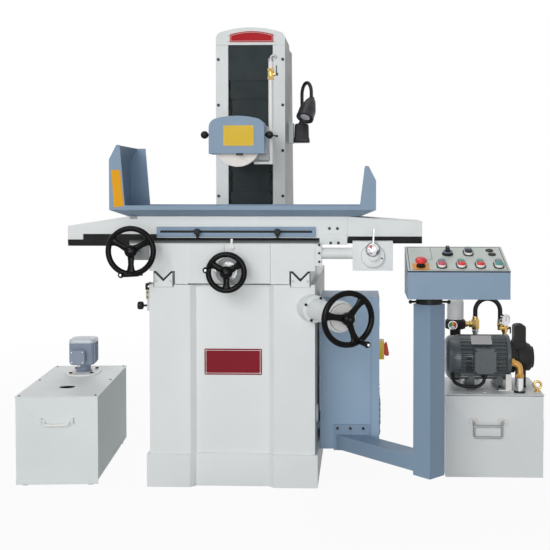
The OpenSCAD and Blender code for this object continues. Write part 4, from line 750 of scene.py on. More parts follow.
standFor("emergency_stop", "emergencyStop", {"red": onPanel(stopAt, lathe((0, 0, 0), zAxis, mushroom, 44)),
                                             "black": onPanel(stopAt, lathe((0, 0, 0), zAxis, neck))})
dial = lathe((0, 0, 0), zAxis, [(-3.5, 8), (1, 8), (1, 15.6), (11, 15.6), (13, 14)])
collar = ringLathe((0, 0, 0), zAxis, [(9.4, 15), (9.4, 17), (13, 16.6), (13.6, 13)], 40)
wing = stack([roundRect(15, 30, 5), roundRect(14, 29, 5), roundRect(10, 24, 4)], [12.5, 26.5, 30])
line = block((-1, 2, 29.6), (1, 10, 30.4))
standFor("selector_switch", "selectorSwitch", {
    "black": onPanel(selectorAt, dial, wing), "greyBlue": onPanel(selectorAt, collar),
    "white": onPanel(selectorAt, line)})
print("pendant dressed")

# isolator handle on the cabinet's door

isolator = {"at": (569.5, -90, 455), "disc": 24, "thick": 14}
at, r, thick = isolator.values()
disc = lathe(at, xAxis, [(-17, 8), (0.6, 8), (0.6, r), (5, r), (6, r - 1.5)], 48)
outline = [(-27, 5), (-27, 17), (-24, 20), (-14, 20), (27, 12), (29, 9), (29, 5)]
grip = slab(outline, thick, at - thick / 2 * yAxis, zAxis, xAxis)
standFor("switch_handle", "isolatorHandle", {"red": [disc, grip]}, edge=1.5)

# bail handles and the oil pump's pull knob

tankTurn = math.radians(4.3)
tankCorner = (-803.5, -470, 0)
tankAcross = np.array([math.cos(tankTurn), math.sin(tankTurn), 0])
tankBack = np.cross(zAxis, tankAcross)


# a part drawn in the coolant tank's own directions, moved to the tank's corner
def onTank(part):
    return onFace(part, tankCorner, tankAcross, tankBack)


# the coolant tank's bail is one bent wire, and the oil tank's a closed loop on two bent ends
coolantBail = {"x": 151, "y": -9, "z": 246, "half": 45, "end": 17, "drop": 18}
x, y, z, half, end, drop = coolantBail.values()
route = [(x - half - end, y, z), (x - half, y, z), (x - half, y, z - drop), (x + half, y, z - drop),
         (x + half, y, z), (x + half + end, y, z)]
standFor("coolant_bail", "coolant_bailWire", {"white": [onTank(tube(roundedPath(route, 9), 4.6, 16))]})
oilBail = {"x": 961, "y": -313, "z": 215, "half": 53, "end": 17, "drop": 60, "loop": -16}
x, y, z, half, end, drop, top = oilBail.values()
loop = roundRect(2 * half, drop + top, 7) @ np.array([xAxis, zAxis]) + (x, y, z + (top - drop) / 2)
wires = [tube(loop, 4, 14, closed=True)]
for side in (-1, 1):
    bent = x + side * half
    wires.append(tube(roundedPath([(bent + side * end, y, z), (bent, y, z), (bent, y, z + top)], 6), 4, 14))
standFor("hydraulic_bail", "hydraulic_bailWire", {"tin": wires})

pullKnob = {"at": (-306.5, -388, 665), "r": 15}
at, r = pullKnob.values()
profile = [(3, 4), (37, 4), (37, 12), (40, r), (54, r), (57, 12.5), (58, 7)]
standFor("oil_pump_knob", "oilPumpKnob", {"black": [lathe(at, -xAxis, profile, 36)]})
print("bails and knobs made")


# four places at plus and minus x and plus and minus y
def fourCorners(x, y):
    return [(u, v) for u in (-x, x) for v in (-y, y)]


# terminal box facing the operator: a rounded box, and a lid wider by an overhang and drawn in at its face
def terminalBox(at, wide, high, rounding, over, depths, lidDepths):
    case = [roundRect(wide, high, rounding)] * 2
    lid = [roundRect(wide + over, high + over, rounding + 1)] * 2
    lid.append(roundRect(wide - over, high - over, rounding - 1))
    return [onFace(stack(case, depths), at), onFace(stack(lid, lidDepths), at)]


# coolant pump: oval flange, neck, square finned motor, pale cap and a terminal box in front

pumpSpec = {"at": (151, 469), "flange": (136, 190), "neck": 28, "body": 100, "fin": 3, "pitch": 11,
            "box": (-11, 0, 408), "boxFoot": 380, "z": (334, 340, 372, 468, 481), "bolts": (43, 55),
            "stem": (62, 33.6)}
(seat, (wide, deep), neckR, size, fin, pitch, boxMid, boxFoot, heights, boltSpots,
 (stemFoot, stemR)) = pumpSpec.values()
lid, low, bottom, top, crown = heights
oval = stadium(wide / 2, (deep - wide) / 2, 20)
flange = stack([oval, oval, oval * 0.97], [lid, low - 1.5, low])
neck = lathe((0, 0, low), zAxis,
             [(-0.5, 34), (3, 34), (6, neckR), (bottom - low - 4, neckR), (bottom - low, 36)], 48)
square = roundRect(size, size, 18)
body = [neck, stack([roundRect(size - 6, size - 6, 18), square, square], [bottom, bottom + 5, top])]
reach = size / 2 + fin
for side in pitch * np.arange(-3, 4):
    body += [block((-reach, side - 2, bottom + 8), (reach, side + 2, top - 6)),
             block((side - 2, 0, bottom + 8), (side + 2, reach, top - 6))]
capSteps = [roundRect(106, 106, 20), roundRect(106, 106, 20), roundRect(100, 100, 24), roundRect(70, 70, 26)]
cap = stack(capSteps, [top - 5, top + 4, top + 10, crown])
body += terminalBox(boxMid, 58, 56, 7, 3, [48, 74], [70, 76, 79])
gland = lathe((boxMid[0] + 6, -62, boxFoot), -zAxis, [(-3, 9), (4, 9), (5, 7.5), (11, 7.5), (12, 5)], 24)
heads = [dome((boxMid[0] + x, -79, boxMid[2] + z), -yAxis, 3, 1.5) for x, z in fourCorners(22, 21)]
bolts = [hexNut((x, y, low - 0.5), zAxis, 7.5, 5) for x, y in fourCorners(*boltSpots)]
stem = bar((0, 0, stemFoot), (0, 0, lid), stemR)
parts = {"white": [flange], "pump": body, "pumpPale": [cap], "chrome": [gland] + heads,
         "screwDark": bolts + [stem]}
parts = allOnFace(parts, tankCorner + seat @ np.array([tankAcross, tankBack]), tankAcross, tankBack)
standFor("coolant_pump", "coolantPump", parts, edge=0.8, steps=1)
print("coolant pump made")

# oil motor: smooth bell, finned body, fan cover, feet, terminal box and a bare plate

oilLid = 319
motorSpec = {"x0": 810, "x1": 1062, "y": -150, "z": 437, "r": 89, "fins": 32, "box": (956, -207),
             "feet": (891, 1002), "plateX": 948, "plateTurn": 56, "darkBlock": ((887, -236, 394), (906, -205, 452)),
             "cable": [(834, -205, 392), (836, -240, 352), (872, -246, 337), (930, -250, 337), (952, -246, 352),
                       (956, -245, 374)]}
x0, x1, y, z, r, fins, (boxX, boxY), footSpots, plateX, plateTurn, darkBlock, cable = motorSpec.values()
painted = [lathe((x0, y, z), xAxis, [(0, 40), (2, 66), (8, 78), (18, 84), (57, 85), (59, 82)], 64)]
fin = circleOutline([r - 1, r - 1, r - 9, r - 9], 4 * fins)
painted += [onFace(stack([fin * 0.97, fin, fin, fin * 0.97], [54, 58, 233, 237]), (x0, y, z), yAxis, zAxis),
            lathe((x1, y, z), -xAxis, [(0, 50), (0, r - 4), (3, r), (14, r), (17, r - 4)], 64)]
for k in range(3):
    louvre = [(0, 60), (0, 71 + 2.6 * k), (1.6, 71.8 + 2.6 * k), (1.6, 60)]
    painted.append(ringLathe((x0 + 4 + 4 * k, y, z), xAxis, louvre, 56))
painted += terminalBox((boxX, boxY, z), 84, 96, 12, 4, [0, 62], [50, 60, 66])
screws = [dome((boxX + u, boxY - 65.6, z + w), -yAxis, 3.6, 2) for u, w in fourCorners(36, 42)]
# a black block proud of the body, where the motor's side shows dark
black = [lathe((boxX, -245, z - 47), -zAxis, [(0, 13), (6, 13), (7, 10), (18, 10), (20, 7)], 24), block(*darkBlock)]
for x in footSpots:
    painted += [block((x, y - 72, oilLid), (x + 34, y + 72, oilLid + 9)),
                block((x + 4, y - 60, oilLid + 5), (x + 30, y + 60, z - 72))]
    painted += [block((x + 8, y + v - 9, oilLid + 5), (x + 26, y + v + 9, z - 50)) for v in (-50, 50)]
    black += [hexNut((x + 17, y + v, oilLid + 9), zAxis, 7, 6) for v in (-64, 64)]
cos, sin = onCircle(math.radians(plateTurn))
plateAt = (plateX, y - (r - 0.4) * cos, z + (r - 0.4) * sin)
climb = np.array([0, sin, cos])
plate = onFace(stack([roundRect(80, 50, 3)] * 2, [-3, 1]), plateAt, xAxis, climb)
rim = onFace(ringSlab(roundRect(80, 50, 3), roundRect(76, 46, 2), 0.5, 1.0), plateAt, xAxis, climb)
standFor("hydraulic_motor", "oilMotor", {
    "motor": painted, "screwDark": screws, "black": black, "rubber": [tube(roundedPath(cable, 18), 6.5, 14)],
    "tin": [plate], "platePale": [rim]}, edge=0.8, steps=1)

# oil pump: mounting flange, stepped body, ribbed control block on top

oilPump = {"at": (1062, -150, 437), "tower": (1103, 46, 470, 567),
           "leg": ((1092, -172, oilLid), (1128, -128, 402)), "bolts": (45, 135, 225, 315), "ring": 52}
at, (x, wide, z0, z1), leg, bolts, ring = oilPump.values()
body = lathe(at, xAxis, [(0, 62), (4, 62), (20, 62), (22, 58), (23, 50), (32, 50), (34, 54), (78, 54), (84, 51),
                         (86, 44), (95, 42), (96, 34)], 64)
tower = [slab(outline, depth, (x, y, z), zAxis, xAxis) for outline, depth, y, z in (
    (roundRect(z1 - z0, wide, 12), 60, -180, (z0 + z1) / 2), (roundRect(34, wide + 8, 6), 68, -184, 485),
    (roundRect(14, 22, 5), 36, -168, z1 - 4))]
spots = circleAt(at + 22 * xAxis, ring, np.radians(bolts), yAxis)
standFor("hydraulic_pump", "oilPump", {"pumpBlack": [body, block(*leg)] + tower,
                                       "screwDark": [hexNut(spot, xAxis, 7, 7) for spot in spots]}, edge=1.2)
print("oil motor and pump made")

# oil filter: pale canister on a dark head, with a four-coloured gauge

filterSpec = {"x": 866, "y": -6, "z": 567, "r": 34, "gauge": (851, -50, 547)}
x, y, z, r, gaugeAt = filterSpec.values()
pale = [lathe((x, y, z), zAxis, [(0, 30), (1, r), (3, r), (4, r - 1), (7, r - 1), (8, r), (72, r), (78, r - 2),
                                 (83, r - 7), (85, r - 16)], 56)]
pale += [ringLathe((x, y, z + h), zAxis, [(0, 33), (0, 34.8), (2.4, 34.8), (2.4, 33)], 56) for h in (10, 67)]
head = [lathe((x, y, z), zAxis, [(-40, 34), (-38, 40), (-35, 42), (-7, 42), (-2, 38), (0, 34)], 56),
        block((x + 20, y - 14, z - 32), (x + 40, y + 14, z - 8)), bar((x, y, oilLid), (x, y, z - 38), 22)]
bezel = ringLathe(gaugeAt, -yAxis, [(-8, 14), (-8, 18.5), (2, 18.5), (2, 16)], 40)
shares = {"green": (105, 215), "white": (215, 320), "red": (-40, 60), "yellow": (60, 105)}
pies = {finish: [slab(sector(*ends, 16.2), 2, gaugeAt + yAxis)] for finish, ends in shares.items()}
standFor("oil_filter", "oilFilter", {"canister": pale, "pumpBlack": head, "chrome": [bezel]} | pies)

# hose arch, brass fittings, gauge, elbow and eye bolt

oilLines = {"y": -6, "x0": 948, "x1": 1050, "z": 571, "run": 547, "tee": 531, "bend": 51, "hose": 9.5,
            "gauge": (1068, 566), "elbow": (1088, -262), "eye": (1160, -244)}
y, x0, x1, z, run, tee, bend, hoseR, (gx, gz), (ex, ey), (qx, qy) = oilLines.values()
arch = circleAt(((x0 + x1) / 2, y, z + 30), bend, np.linspace(0, np.pi, 28), -xAxis)
hose = tube([(x0, y, z + 2), *arch, (x1, y, z - 30)], hoseR, 20)
brass = [hexNut((x, y, run), xAxis, r, length)
         for x, r, length in ((905, 13, 12), (921, 15, 15), (938, 13, 10))]
brass += [hexNut((x, y, at), zAxis, r, length) for x, at, r, length in (
    (x0, z - 44, 18, 40), (x1, z - 33, 14, 14), (gx, z - 57, 14, 18), (gx, run, 12, 12), (gx, 470, 13, 12),
    (gx, oilLid, 15, 10))]
brass += [bar((a, y, low), (b, y, high), r) for a, low, b, high, r in (
    (904, run, 962, run, 9), (x0, tee, x0, z + 8, 12), (x1, z - 49, x1, z - 16, 11),
    (x1 - 6, tee, gx + 16, tee, 9), (gx, oilLid, gx, z - 12, 9.5))]
steel = [bar((x0, y, oilLid + 4), (x0, y, z - 44), 11), hexNut((x0, y, z - 58), zAxis, 15, 13),
         lathe((x0, y, oilLid), zAxis, [(0, 18), (5, 18), (6, 14)], 32),
         lathe((x1, y, z - 18), zAxis, [(0, 9.8), (1, 11.6), (13, 11.6), (14, 9.8)], 32)]
dark = [bar((gx + 14, y, tee), (gx + 26, y, tee), 5),
        bar((gx + 24, y - 4, z - 62), (gx + 24, y - 4, z - 36), 3),
        lathe((ex, ey, oilLid), zAxis, [(0, 22), (5, 22), (6.5, 19), (6.5, 8)])]
gaugeAxis = unit((0.62, -0.78, 0))
gaugeSide = np.cross(zAxis, gaugeAxis)
gaugeAt = np.array([gx, y - 12, gz])
case = [(-10, 20), (-9, 23), (2, 23), (3, 24.5), (7, 24.5), (7.5, 22), (6, 21)]
chrome = [lathe(gaugeAt, gaugeAxis, case, 48), bar((gx, y, z - 14), (gx, y, gz - 16), 7),
          lathe((ex, ey, oilLid), zAxis, [(6, 14), (56, 14)])]
dialFace = lathe(gaugeAt, gaugeAxis, [(3, 21.4), (5.6, 21.4)])
darkMarks = [slab([(-1.4, -6), (1.4, -6), (0.5, 16), (-0.5, 16)], 0.8, gaugeAt + 5.8 * gaugeAxis, gaugeSide)]
darkMarks += around(block((-0.6, 15, 0), (0.6, 19, 0.6)), gaugeAt + 5.5 * gaugeAxis,
              np.radians(np.arange(-120, 121, 30)), gaugeSide)
turn = roundedPath([(ex, ey, oilLid + 52), (ex, ey, oilLid + 106), (ex - 30, ey, oilLid + 116)], 20)
bronze = [tube(turn, 13, 20), hexNut((ex, ey, oilLid + 56), zAxis, 17, 16),
          hexNut((ex - 33, ey, oilLid + 117), xAxis, 16, 12)]
brass += [tube(circleAt((qx, qy, oilLid + 25), 14, fullTurn(40)), 4.8, 14, closed=True),
          bar((qx, qy, oilLid), (qx, qy, oilLid + 13), 6),
          lathe((qx, qy, oilLid), zAxis, [(0, 13), (4, 13), (5, 11), (5, 6)], 32)]
standFor("hydraulic_lines", "oilFittings", {
    "rubber": [hose], "brass": brass, "steel": steel, "chrome": chrome, "white": [dialFace], "line": darkMarks,
    "bronze": bronze, "screwDark": dark}, angle=40)
print("filter and fittings made")

# bare plates, screws, dark strips of painted shade, and other strips


# flat plate facing the operator with a pale border line between two outlines, and rivets
def facePlate(name, finish, outline, inner, inset, at, rivets):
    plate = onFace(stack([outline, outline], [-0.5, 2]), at)
    line = onFace(ringSlab(inner, inset, 1.5, 0.8), at)
    heads = [dome(at + np.array([x, -2, z]), -yAxis, 3.2, 1.6) for x, z in rivets]
    make(name, {finish: [plate], "platePale": [line], "steel": heads}, edge=0.4, steps=1)


capPlate = {"half": 94, "foot": -24, "shoulder": 9, "crown": 23, "at": (5, 159, 1760)}
half, foot, shoulder, crown, at = capPlate.values()
shapes = [archedPlate(half - i, foot + i, shoulder - i * 0.9, crown - i) for i in (0, 4, 5.6)]
facePlate("capPlate", "redPlate", *shapes, at, [(x, z) for x in (-100, 100) for z in (-20, 6)])
basePlate = {"width": 214, "height": 97, "at": (1.5, -430, 462), "radius": 3}
wide, high, at, radius = basePlate.values()
shapes = [roundRect(wide - 2 * i, high - 2 * i, max(radius - i * 0.3, 1)) for i in (0, 5, 7)]
facePlate("basePlate", "maroon", *shapes, at, fourCorners(101, 42))
guardPlate = {"width": 117, "height": 78, "at": (8, -310, 1307), "radius": 3, "rivets": (53, 34)}
wide, high, at, radius, rivets = guardPlate.values()
plate = onFace(stack([roundRect(wide, high, radius)] * 2, [-0.5, 1.5]), at)
heads = [dome(at + np.array([x, -1.5, z]), -yAxis, 2.6, 1.4) for x, z in fourCorners(*rivets)]
make("guardPlate", {"gold": [plate], "steel": heads}, "wheelhead", "brass", edge=0.4, steps=1)

tableScrews = [(357, -370, 955), (387, -370, 955), (362, -376, 901), (391, -376, 901)]
make("tableScrews", {"screwDark": [socketScrew(at, -yAxis, 5.5, 3) for at in tableScrews]}, "table", "steel",
     angle=30)

wayPlate = {"gap": 506, "width": 68, "foot": 742, "top": 797, "notch": 30, "front": -453, "thick": 2.4}
gap, wide, foot, top, notch, front, thick = wayPlate.values()
half = wide / 2
vee = [(half, top), (notch, top), (0, top - notch), (-notch, top), (-half, top)]
lip = [(-half, top - 3), (-notch - 1.4, top - 3), (0, top - notch - 4.4), (notch + 1.4, top - 3),
       (half, top - 3)]
for x, name in ((-gap / 2, "leftWayPlate"), (gap / 2, "rightWayPlate")):
    plate = slab([(-half, foot), (half, foot)] + vee, thick, (x, front, 0))
    make(name, {"cream": [plate], "black": [slab(lip + vee, 1, (x, front - thick, 0))]}, edge=0.4, steps=1)

# cap screws at the CAD screws' places: column edges, way plates, arm plate and both lids
capScrews = {"column": (139, 159, 1074, 196), "way": (253, 26.6, -455.4, 764),
             "arm": (-256, 172, (385, 435, 485)), "coolant": (302, 611, 334), "oil": (801, -304, 371, 330)}
x, y, z, pitch = capScrews["column"]
dark = [socketScrew((u, y, z + pitch * k), -yAxis, 6.5, 4) for u in (-x, x) for k in range(4)]
y, z, places = capScrews["arm"]
dark += [socketScrew((x, y, z), -yAxis, 5.5, 4) for x in places]
wide, deep, z = capScrews["coolant"]
dark += [onTank(dome((x, y, z), zAxis, 4.5, 3)) for x in (10, wide - 10) for y in (12, deep / 2, deep - 12)]
gap, half, y, z = capScrews["way"]
pale = [socketScrew((u + v, y, z), -yAxis, 5, 3) for u, v in fourCorners(gap, half)]
x, y, wide, deep = capScrews["oil"]
pale += [dome((x + u, y + v, oilLid), zAxis, 5, 3) for u in (8, wide - 8) for v in (8, deep - 8)]
standFor("socket_screws", "capScrews", {"screwDark": dark, "creamDull": pale}, angle=30)

# strips on the table: a black strip over a grey band under its edge, painted shade for the gap down to the
# saddle, the skirt's run to the stop rail, an amber strip and a tab
tableStrips = {"x": (-400, 426), "y": -369, "foot": 897.5, "middle": 912.5, "top": 919.4,
               "skirt": (-634, 888, 895, 905), "end": ((-400, -373, 911), (-295, -370.1, 933)),
               "tab": ((-396, -373, 990), (-369, -370, 1000.5)),
               "amber": [(-442, 1034), (-406, 1040), (-419, 1174), (-453, 1174)]}
(x0, x1), y, foot, middle, top, (skirtX, low, middleZ, high), end, tab, outline = tableStrips.values()
skirtY = corners("way_skirts")[0][1]
# the first block, a black strip over the grey band, is painted shade of the gap between table and saddle
black = [block((x0, y, middle), (x1, y + 3, top)), block(*end),
         block((skirtX, skirtY + 2.4, low), (x0, skirtY + 5, high)),
         block((skirtX, skirtY + 1, middleZ), (x0, skirtY + 5, high))]
make("tableStrips", {"skirtBlack": black, "paintedGapShade": [block((x0, y, foot), (x1, y + 3, middle))],
                     "amber": [slab(outline, 0.8, (0, -425, 0))], "dialGrey": [block(*tab)]},
     "table", slotOf["way_skirts"], edge=0.5, steps=1)

# saddle's raised apron with a gap for the reversing lever, and a dark strip under it: painted shade for the
# shadow in the gap
apron = {"x": (-157, 142), "z": (754, 899), "y": -445, "thick": 5, "notch": (28, 872), "gap": (750.6, 754.4)}
(x0, x1), (z0, z1), y, thick, (notch, sill), (low, high) = apron.values()
outline = [(x0, z0), (x1, z0), (x1, z1), (notch, z1), (notch, sill), (-notch, sill), (-notch, z1), (x0, z1)]
make("saddleApron", {"cream": [slab(outline, thick + 0.5, (0, y + 0.5, 0))],
                     # dark strip under the apron: painted shade
                     "line": [block((x0 - 6, y - 4, low), (x1, y + 1, high))]},
     "saddle", slotOf["saddle"], edge=2.4, steps=3)

# speed valve: flange screws, the crescent step under the knob, the dial's rim and a screw in the dial
valveTrim = {"at": (518.5, -455, 882), "knob": 26.5, "step": 24, "drop": 17, "dial": (518.5, -455, 858),
             "dot": (552, -455, 849), "screws": [(322, -445, 897), (322, -445, 867), (322, -445, 835.5)]}
at, knobR, step, drop, dial, dot, screws = valveTrim.values()
outer = step * onCircle(np.radians(np.linspace(-162, -18, 24))) - (0, drop)
inner = knobR * onCircle(np.radians(np.linspace(-32, -148, 24)))
rim = ringLathe(dial, -yAxis, [(-0.5, 41.8), (-0.5, 43.2), (0.6, 43.2), (0.6, 41.8)], 64)
heads = [socketScrew(spot, -yAxis, 4.6, 3) for spot in screws] + [dome(dot, -yAxis, 3.4, 1.6)]
crescent = slab(np.concatenate([outer, inner]), 15, at)
make("valveTrim", {"cream": [crescent], "dialGrey": [rim], "screwDark": heads}, "saddle", slotOf["speed_valve"],
     edge=1)

# wheelhead: a catch under the guard's cover, a small lever by the right knob and the spindle's housing below
guardTrim = {"catch": ((-2, -313, 1232), (25, -309, 1240)), "lever": ((128, -292, 1311), (152, -292, 1306)),
             "housing": ((80, -262, 1215.5), (121, -247, 1239))}
catch, ends, housing = guardTrim.values()
lever = [bar(*ends, 3, 0.8, 16), lathe(ends[1], xAxis, [(-3, 3), (-1, 5), (3, 5), (5, 3)], 20)]
make("guardTrim", {"black": [block(*catch)], "screwDark": lever, "dialGrey": [block(*housing)]}, "wheelhead",
     slotOf["wheel_guard"], edge=1.2)

# oiler: a dark cap over a beige block with screws, and the pump's pale foot
oiler = {"cap": ((-330, -412, 727), (-306.5, -364, 750)), "body": ((-328.5, -410, 690), (-306.5, -366, 728)),
         "foot": ((-325, -406, 647), (-306.5, -370, 691))}
cap, body, foot = [block(*ends) for ends in oiler.values()]
dots = [dome((x, -410, z), -yAxis, 3, 1.5) for x in (-322, -313) for z in (699, 717)]
dots += [dome((-328.5, y, z), -xAxis, 3, 1.5) for y in (-402, -374) for z in (699, 717)]
glint = [dome((-318, -412, 739), -yAxis, 4, 2), dome((-318, -388, 750), zAxis, 6, 5)]
standFor("oiler", "oilerPiece", {"black": [cap], "beige": [body], "creamDull": [foot], "screwDark": dots,
                                 "chrome": glint}, edge=1.6)

# a pale bracket and a screw on the oil lid
lidTrim = {"bracket": ((1040, -232, oilLid), (1062, -228, 382)),
           "foot": ((1012, -240, oilLid), (1062, -228, 323)), "screw": (952, -272, oilLid)}
bracket, foot, screw = lidTrim.values()
make("lidTrim", {"white": [block(*bracket), block(*foot), dome(screw, zAxis, 7, 4)]}, edge=0.8)


# cover on a wall, drawn on a face: a rounded sheet, domes along its edges, and louvres as ellipses
# that swell by the square root of 1 - t^8 along their length
def coverParts(spec):
    wide, high = spec["size"]
    sheet = stack([roundRect(wide - i, high - i, 9 - i) for i in (0, 0, 2)], [-0.5, 2.4, 3.6])
    u, v = wide / 2 - 13, high / 2 - 13
    columns, rows = spec["screws"]
    spots = [(x, y) for x in np.linspace(-u, u, columns) for y in (-v, v)]
    spots += [(x, y) for x in (-u, u) for y in np.linspace(-v, v, rows)[1:-1]]
    count, length, first, pitch = spec.get("louvres", (0, 0, 0, 0))
    t = np.linspace(-1, 1, 13)
    swell = np.sqrt(np.clip(1 - t ** 8, 0.04, 1))
    centers = [(0, first + k * pitch, 2) + t[:, None] * length / 2 * xAxis for k in range(count)]
    slats = [loft(line, yAxis, zAxis, 6.5 * swell, 5.5 * swell, 14) for line in centers]
    return {spec["finish"]: [sheet] + slats, "steel": [dome((*spot, 3.4), zAxis, 5.5, 2.6) for spot in spots]}


backLean = math.atan2(80, 974)
leanUp = np.array([0, -math.sin(backLean), math.cos(backLean)])
covers = {
    "columnBackCover": {"at": (0, 480 - 490 * math.tan(backLean), 1240), "across": -xAxis, "up": leanUp,
                        "size": (228, 720), "screws": (3, 6), "louvres": (7, 120, 150, 24), "finish": "cream"},
    "baseBackCover": {"at": (0, 490, 430), "across": -xAxis, "size": (400, 420), "screws": (4, 4),
                      "louvres": (6, 150, -150, 24), "finish": "cream"},
    "baseLeftCover": {"at": (-306.5, 150, 430), "across": -yAxis, "size": (420, 380), "screws": (4, 4),
                      "finish": "cream"},
    # the right cover takes the same darker grey: painted shade on the shaded side
    "baseRightCover": {"at": (306.5, 250, 430), "across": yAxis, "size": (340, 380), "screws": (3, 4),
                       "louvres": (5, 140, -130, 24), "finish": "paintedShadeGrey"},
    "pendantBackCover": {"at": (812.5, -423.5, 800), "across": -xAxis, "size": (300, 110), "screws": (3, 2),
                         "finish": "blue", "body": "pendant"},
    "doorLouvres": {"at": (547.5, -128, 210), "across": yAxis, "size": (170, 150), "screws": (2, 2),
                    "louvres": (4, 110, -36, 24), "finish": "blue", "body": "cabinet_door"},
}
for name, spec in covers.items():
    parts = allOnFace(coverParts(spec), spec["at"], spec["across"], spec.get("up", zAxis))
    slot = "blue_paint" if spec["finish"] == "blue" else "cream_paint"
    make(name, parts, spec.get("body", "machine"), slot, edge=0.6, steps=1)

# front skirt of the coolant tank, drain plugs, level glass and lifting sockets, their holes dark discs of
# painted shade
tankTrim = {"skirt": ((0, -1, 5), (302, 2, 21)), "drain": (151, 611, 60), "oilDrain": (1172, -139, 45),
            "glass": (1172, -240, 150), "sockets": (306.5, (-330, 440), 250)}
skirt, drain, oilDrain, (x, y, z), (socketX, socketY, socketZ) = tankTrim.values()
brass = [onTank(hexNut(drain, yAxis, 13, 10)), hexNut(oilDrain, xAxis, 13, 10)]
steel = [slab(roundRect(34, 130, 6), 4, (x, y, z), yAxis),
         *[hexNut((x + 3, y, z + h), xAxis, 9, 9) for h in (-54, 54)]]
glass = tube(np.linspace((x + 7, y, z - 46), (x + 7, y, z + 46), 8), 6, 20)
darkMarks = [block((x + 3.6, y - 14, h - 0.7), (x + 4.4, y - 8, h + 0.7)) for h in range(z - 40, z + 41, 10)]
rims = []
for side in (-1, 1):
    for y in socketY:
        at, out = (side * socketX, y, socketZ), side * xAxis
        rims.append(ringLathe(at, out, [(-1, 21), (-1, 33), (4, 33), (6, 30), (6, 21)]))
        # dark disc filling the socket's hole: painted shade of the hollow
        darkMarks.append(lathe(at, out, [(-1, 20.9), (0.6, 20.9)], 48))
parts = {"tankPaint": [onTank(block(*skirt))], "cream": rims, "brass": brass, "steel": steel, "lens": [glass],
         "line": darkMarks}
make("tankTrim", parts, edge=0.6, steps=1)

# bail hinges on the oil tank, the seam under its lid, and the door's lock
oilTankTrim = {"hinges": [(908, -304, 219), (1014, -304, 219)], "seam": (986.5, -139, 312.4)}
hinges, seamAt = oilTankTrim.values()
plate = stack([roundRect(32, 18, 3)] * 2, [-0.5, 3])
seam = onFace(ringSlab(roundRect(371.8, 330.8, 2), roundRect(368, 327, 2), 0, 2.6), seamAt, xAxis, yAxis)
make("oilTankTrim", {"platePale": [onFace(plate, at) for at in hinges], "line": [seam]}, edge=0.5, steps=1)
lockAt = (547.5, -226, 330)
lock = [lathe(lockAt, xAxis, [(-0.5, 15), (1.6, 15), (2.4, 13), (2.4, 5)]),
        onFace(stack([roundRect(5, 18, 2)] * 2, [1.5, 3.5]), lockAt, yAxis)]
make("doorLock", {"chrome": lock}, "cabinet_door", "steel", edge=0.4, steps=1)
print("plates, screws and covers made")


# camera at the photograph's place

view = {"eye": (0.4696, -3.8851, 1.0947), "yaw": 1.858, "pitch": 1.561, "lens": 61.41, "sensor": 36.0,
        "shift": (-0.0982, -0.1058), "far": 100}
eyeData = bpy.data.cameras.new("eye")
eyeData.lens = view["lens"]
eyeData.sensor_width = view["sensor"]
eyeData.shift_x, eyeData.shift_y = view["shift"]
eyeData.clip_end = view["far"]
eye = addObject("eye", eyeData)
eye.location = view["eye"]
eye.rotation_euler = (math.radians(90 - view["pitch"]), 0, math.radians(view["yaw"]))
bpy.context.scene.camera = eye

# studio: pale floor, even surround, a large soft lamp from the front left, others in front, above and behind

studio = {
    "floorHalf": 40.0,
    "floorTone": (196, 196, 196),
    "floorRough": 0.8,
    "glow": {"From Min": 1.2, "From Max": 3.6, "To Min": 0.94, "To Max": 1.0},
    "surround": 0.18,
    "key": {"at": (-1.7, -5.4, 3.2), "size": 3.0, "power": 112},
    "fill": {"at": (0.45, -6.2, 0.8), "size": 3.0, "power": 120},
    "top": {"at": (-0.6, 0.2, 4.6), "size": 2.4, "power": 34},
    "back": {"at": (-0.5, 5.2, 3.4), "size": 2.4, "power": 105},
    "aim": (0.1, 0.0, 0.9),
}


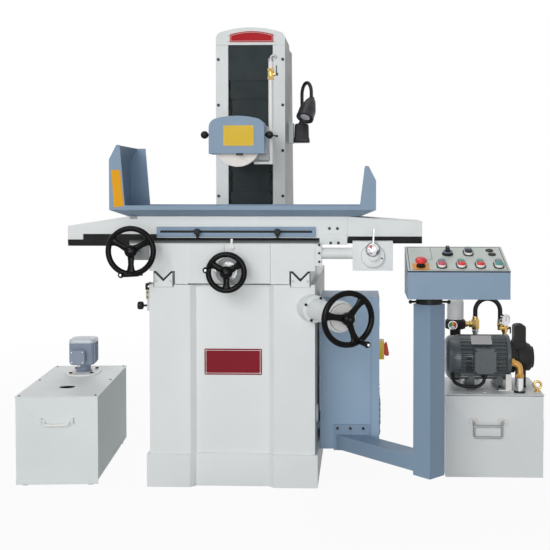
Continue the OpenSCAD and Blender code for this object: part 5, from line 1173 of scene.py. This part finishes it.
# one for camera, mirror and glass rays, and zero for the rest: the greatest of the three
def whiteRays(tree):
    rays = addNode(tree, "LightPath", {}).outputs
    seen = addNode(tree, "Math", {0: rays["Is Camera Ray"], 1: rays["Is Glossy Ray"]}, operation="MAXIMUM")
    seen = addNode(tree, "Math", {0: seen.outputs[0], 1: rays["Is Transmission Ray"]}, operation="MAXIMUM")
    return seen.outputs[0]


# two shaders mixed by a factor, as what the tree puts out: first * (1 - factor) + second * factor
def mixOut(tree, factor, first, second, output):
    mixed = addNode(tree, "MixShader", {"Fac": factor, 1: first.outputs[0], 2: second.outputs[0]})
    plug(tree, tree.nodes[output], {"Surface": mixed.outputs[0]})


world = bpy.data.worlds.new("studio")
bpy.context.scene.world = world
world.use_nodes = True
sky = world.node_tree
even = sky.nodes["Background"]
plug(sky, even, {"Color": (1, 1, 1, 1), "Strength": studio["surround"]})
white = addNode(sky, "Background", {"Color": (1, 1, 1, 1), "Strength": 1.0})
mixOut(sky, whiteRays(sky), even, white, "World Output")

# the floor glows to white for those rays, by the distance from its middle
floorFinish, tree, matte, coords = newFinish("paleFloor")
plug(tree, matte, {"Base Color": (*tone(studio["floorTone"]), 1.0), "Roughness": studio["floorRough"]})
away = addNode(tree, "VectorMath", {0: coords}, operation="LENGTH").outputs["Value"]
fade = addNode(tree, "MapRange", studio["glow"] | {"Value": away}).outputs["Result"]
share = addNode(tree, "Math", {0: whiteRays(tree), 1: fade}, operation="MULTIPLY").outputs[0]
mixOut(tree, share, matte, addNode(tree, "Emission", {}), "Material Output")
half = studio["floorHalf"]
floorMesh = bpy.data.meshes.new("floor")
corner = [(-half, -half, 0), (half, -half, 0), (half, half, 0), (-half, half, 0)]
floorMesh.from_pydata(corner, [], [(0, 1, 2, 3)])
floorMesh.materials.append(floorFinish)
addObject("floor", floorMesh)

for name in ("key", "fill", "top", "back"):
    spec = studio[name]
    lampData = bpy.data.lights.new(name, "AREA")
    lampData.size = spec["size"]
    lampData.energy = spec["power"]
    lamp = addObject(name, lampData)
    lamp.location = spec["at"]
    x, y, z = np.array(studio["aim"]) - spec["at"]
    lamp.rotation_euler = (math.atan2(math.hypot(x, y), -z), 0, math.atan2(-x, y))
    lamp.visible_glossy = name != "back"  # no glare along tops and sides from behind
bpy.context.scene.view_settings.view_transform = "Standard"
print("camera, floor and lamps placed")
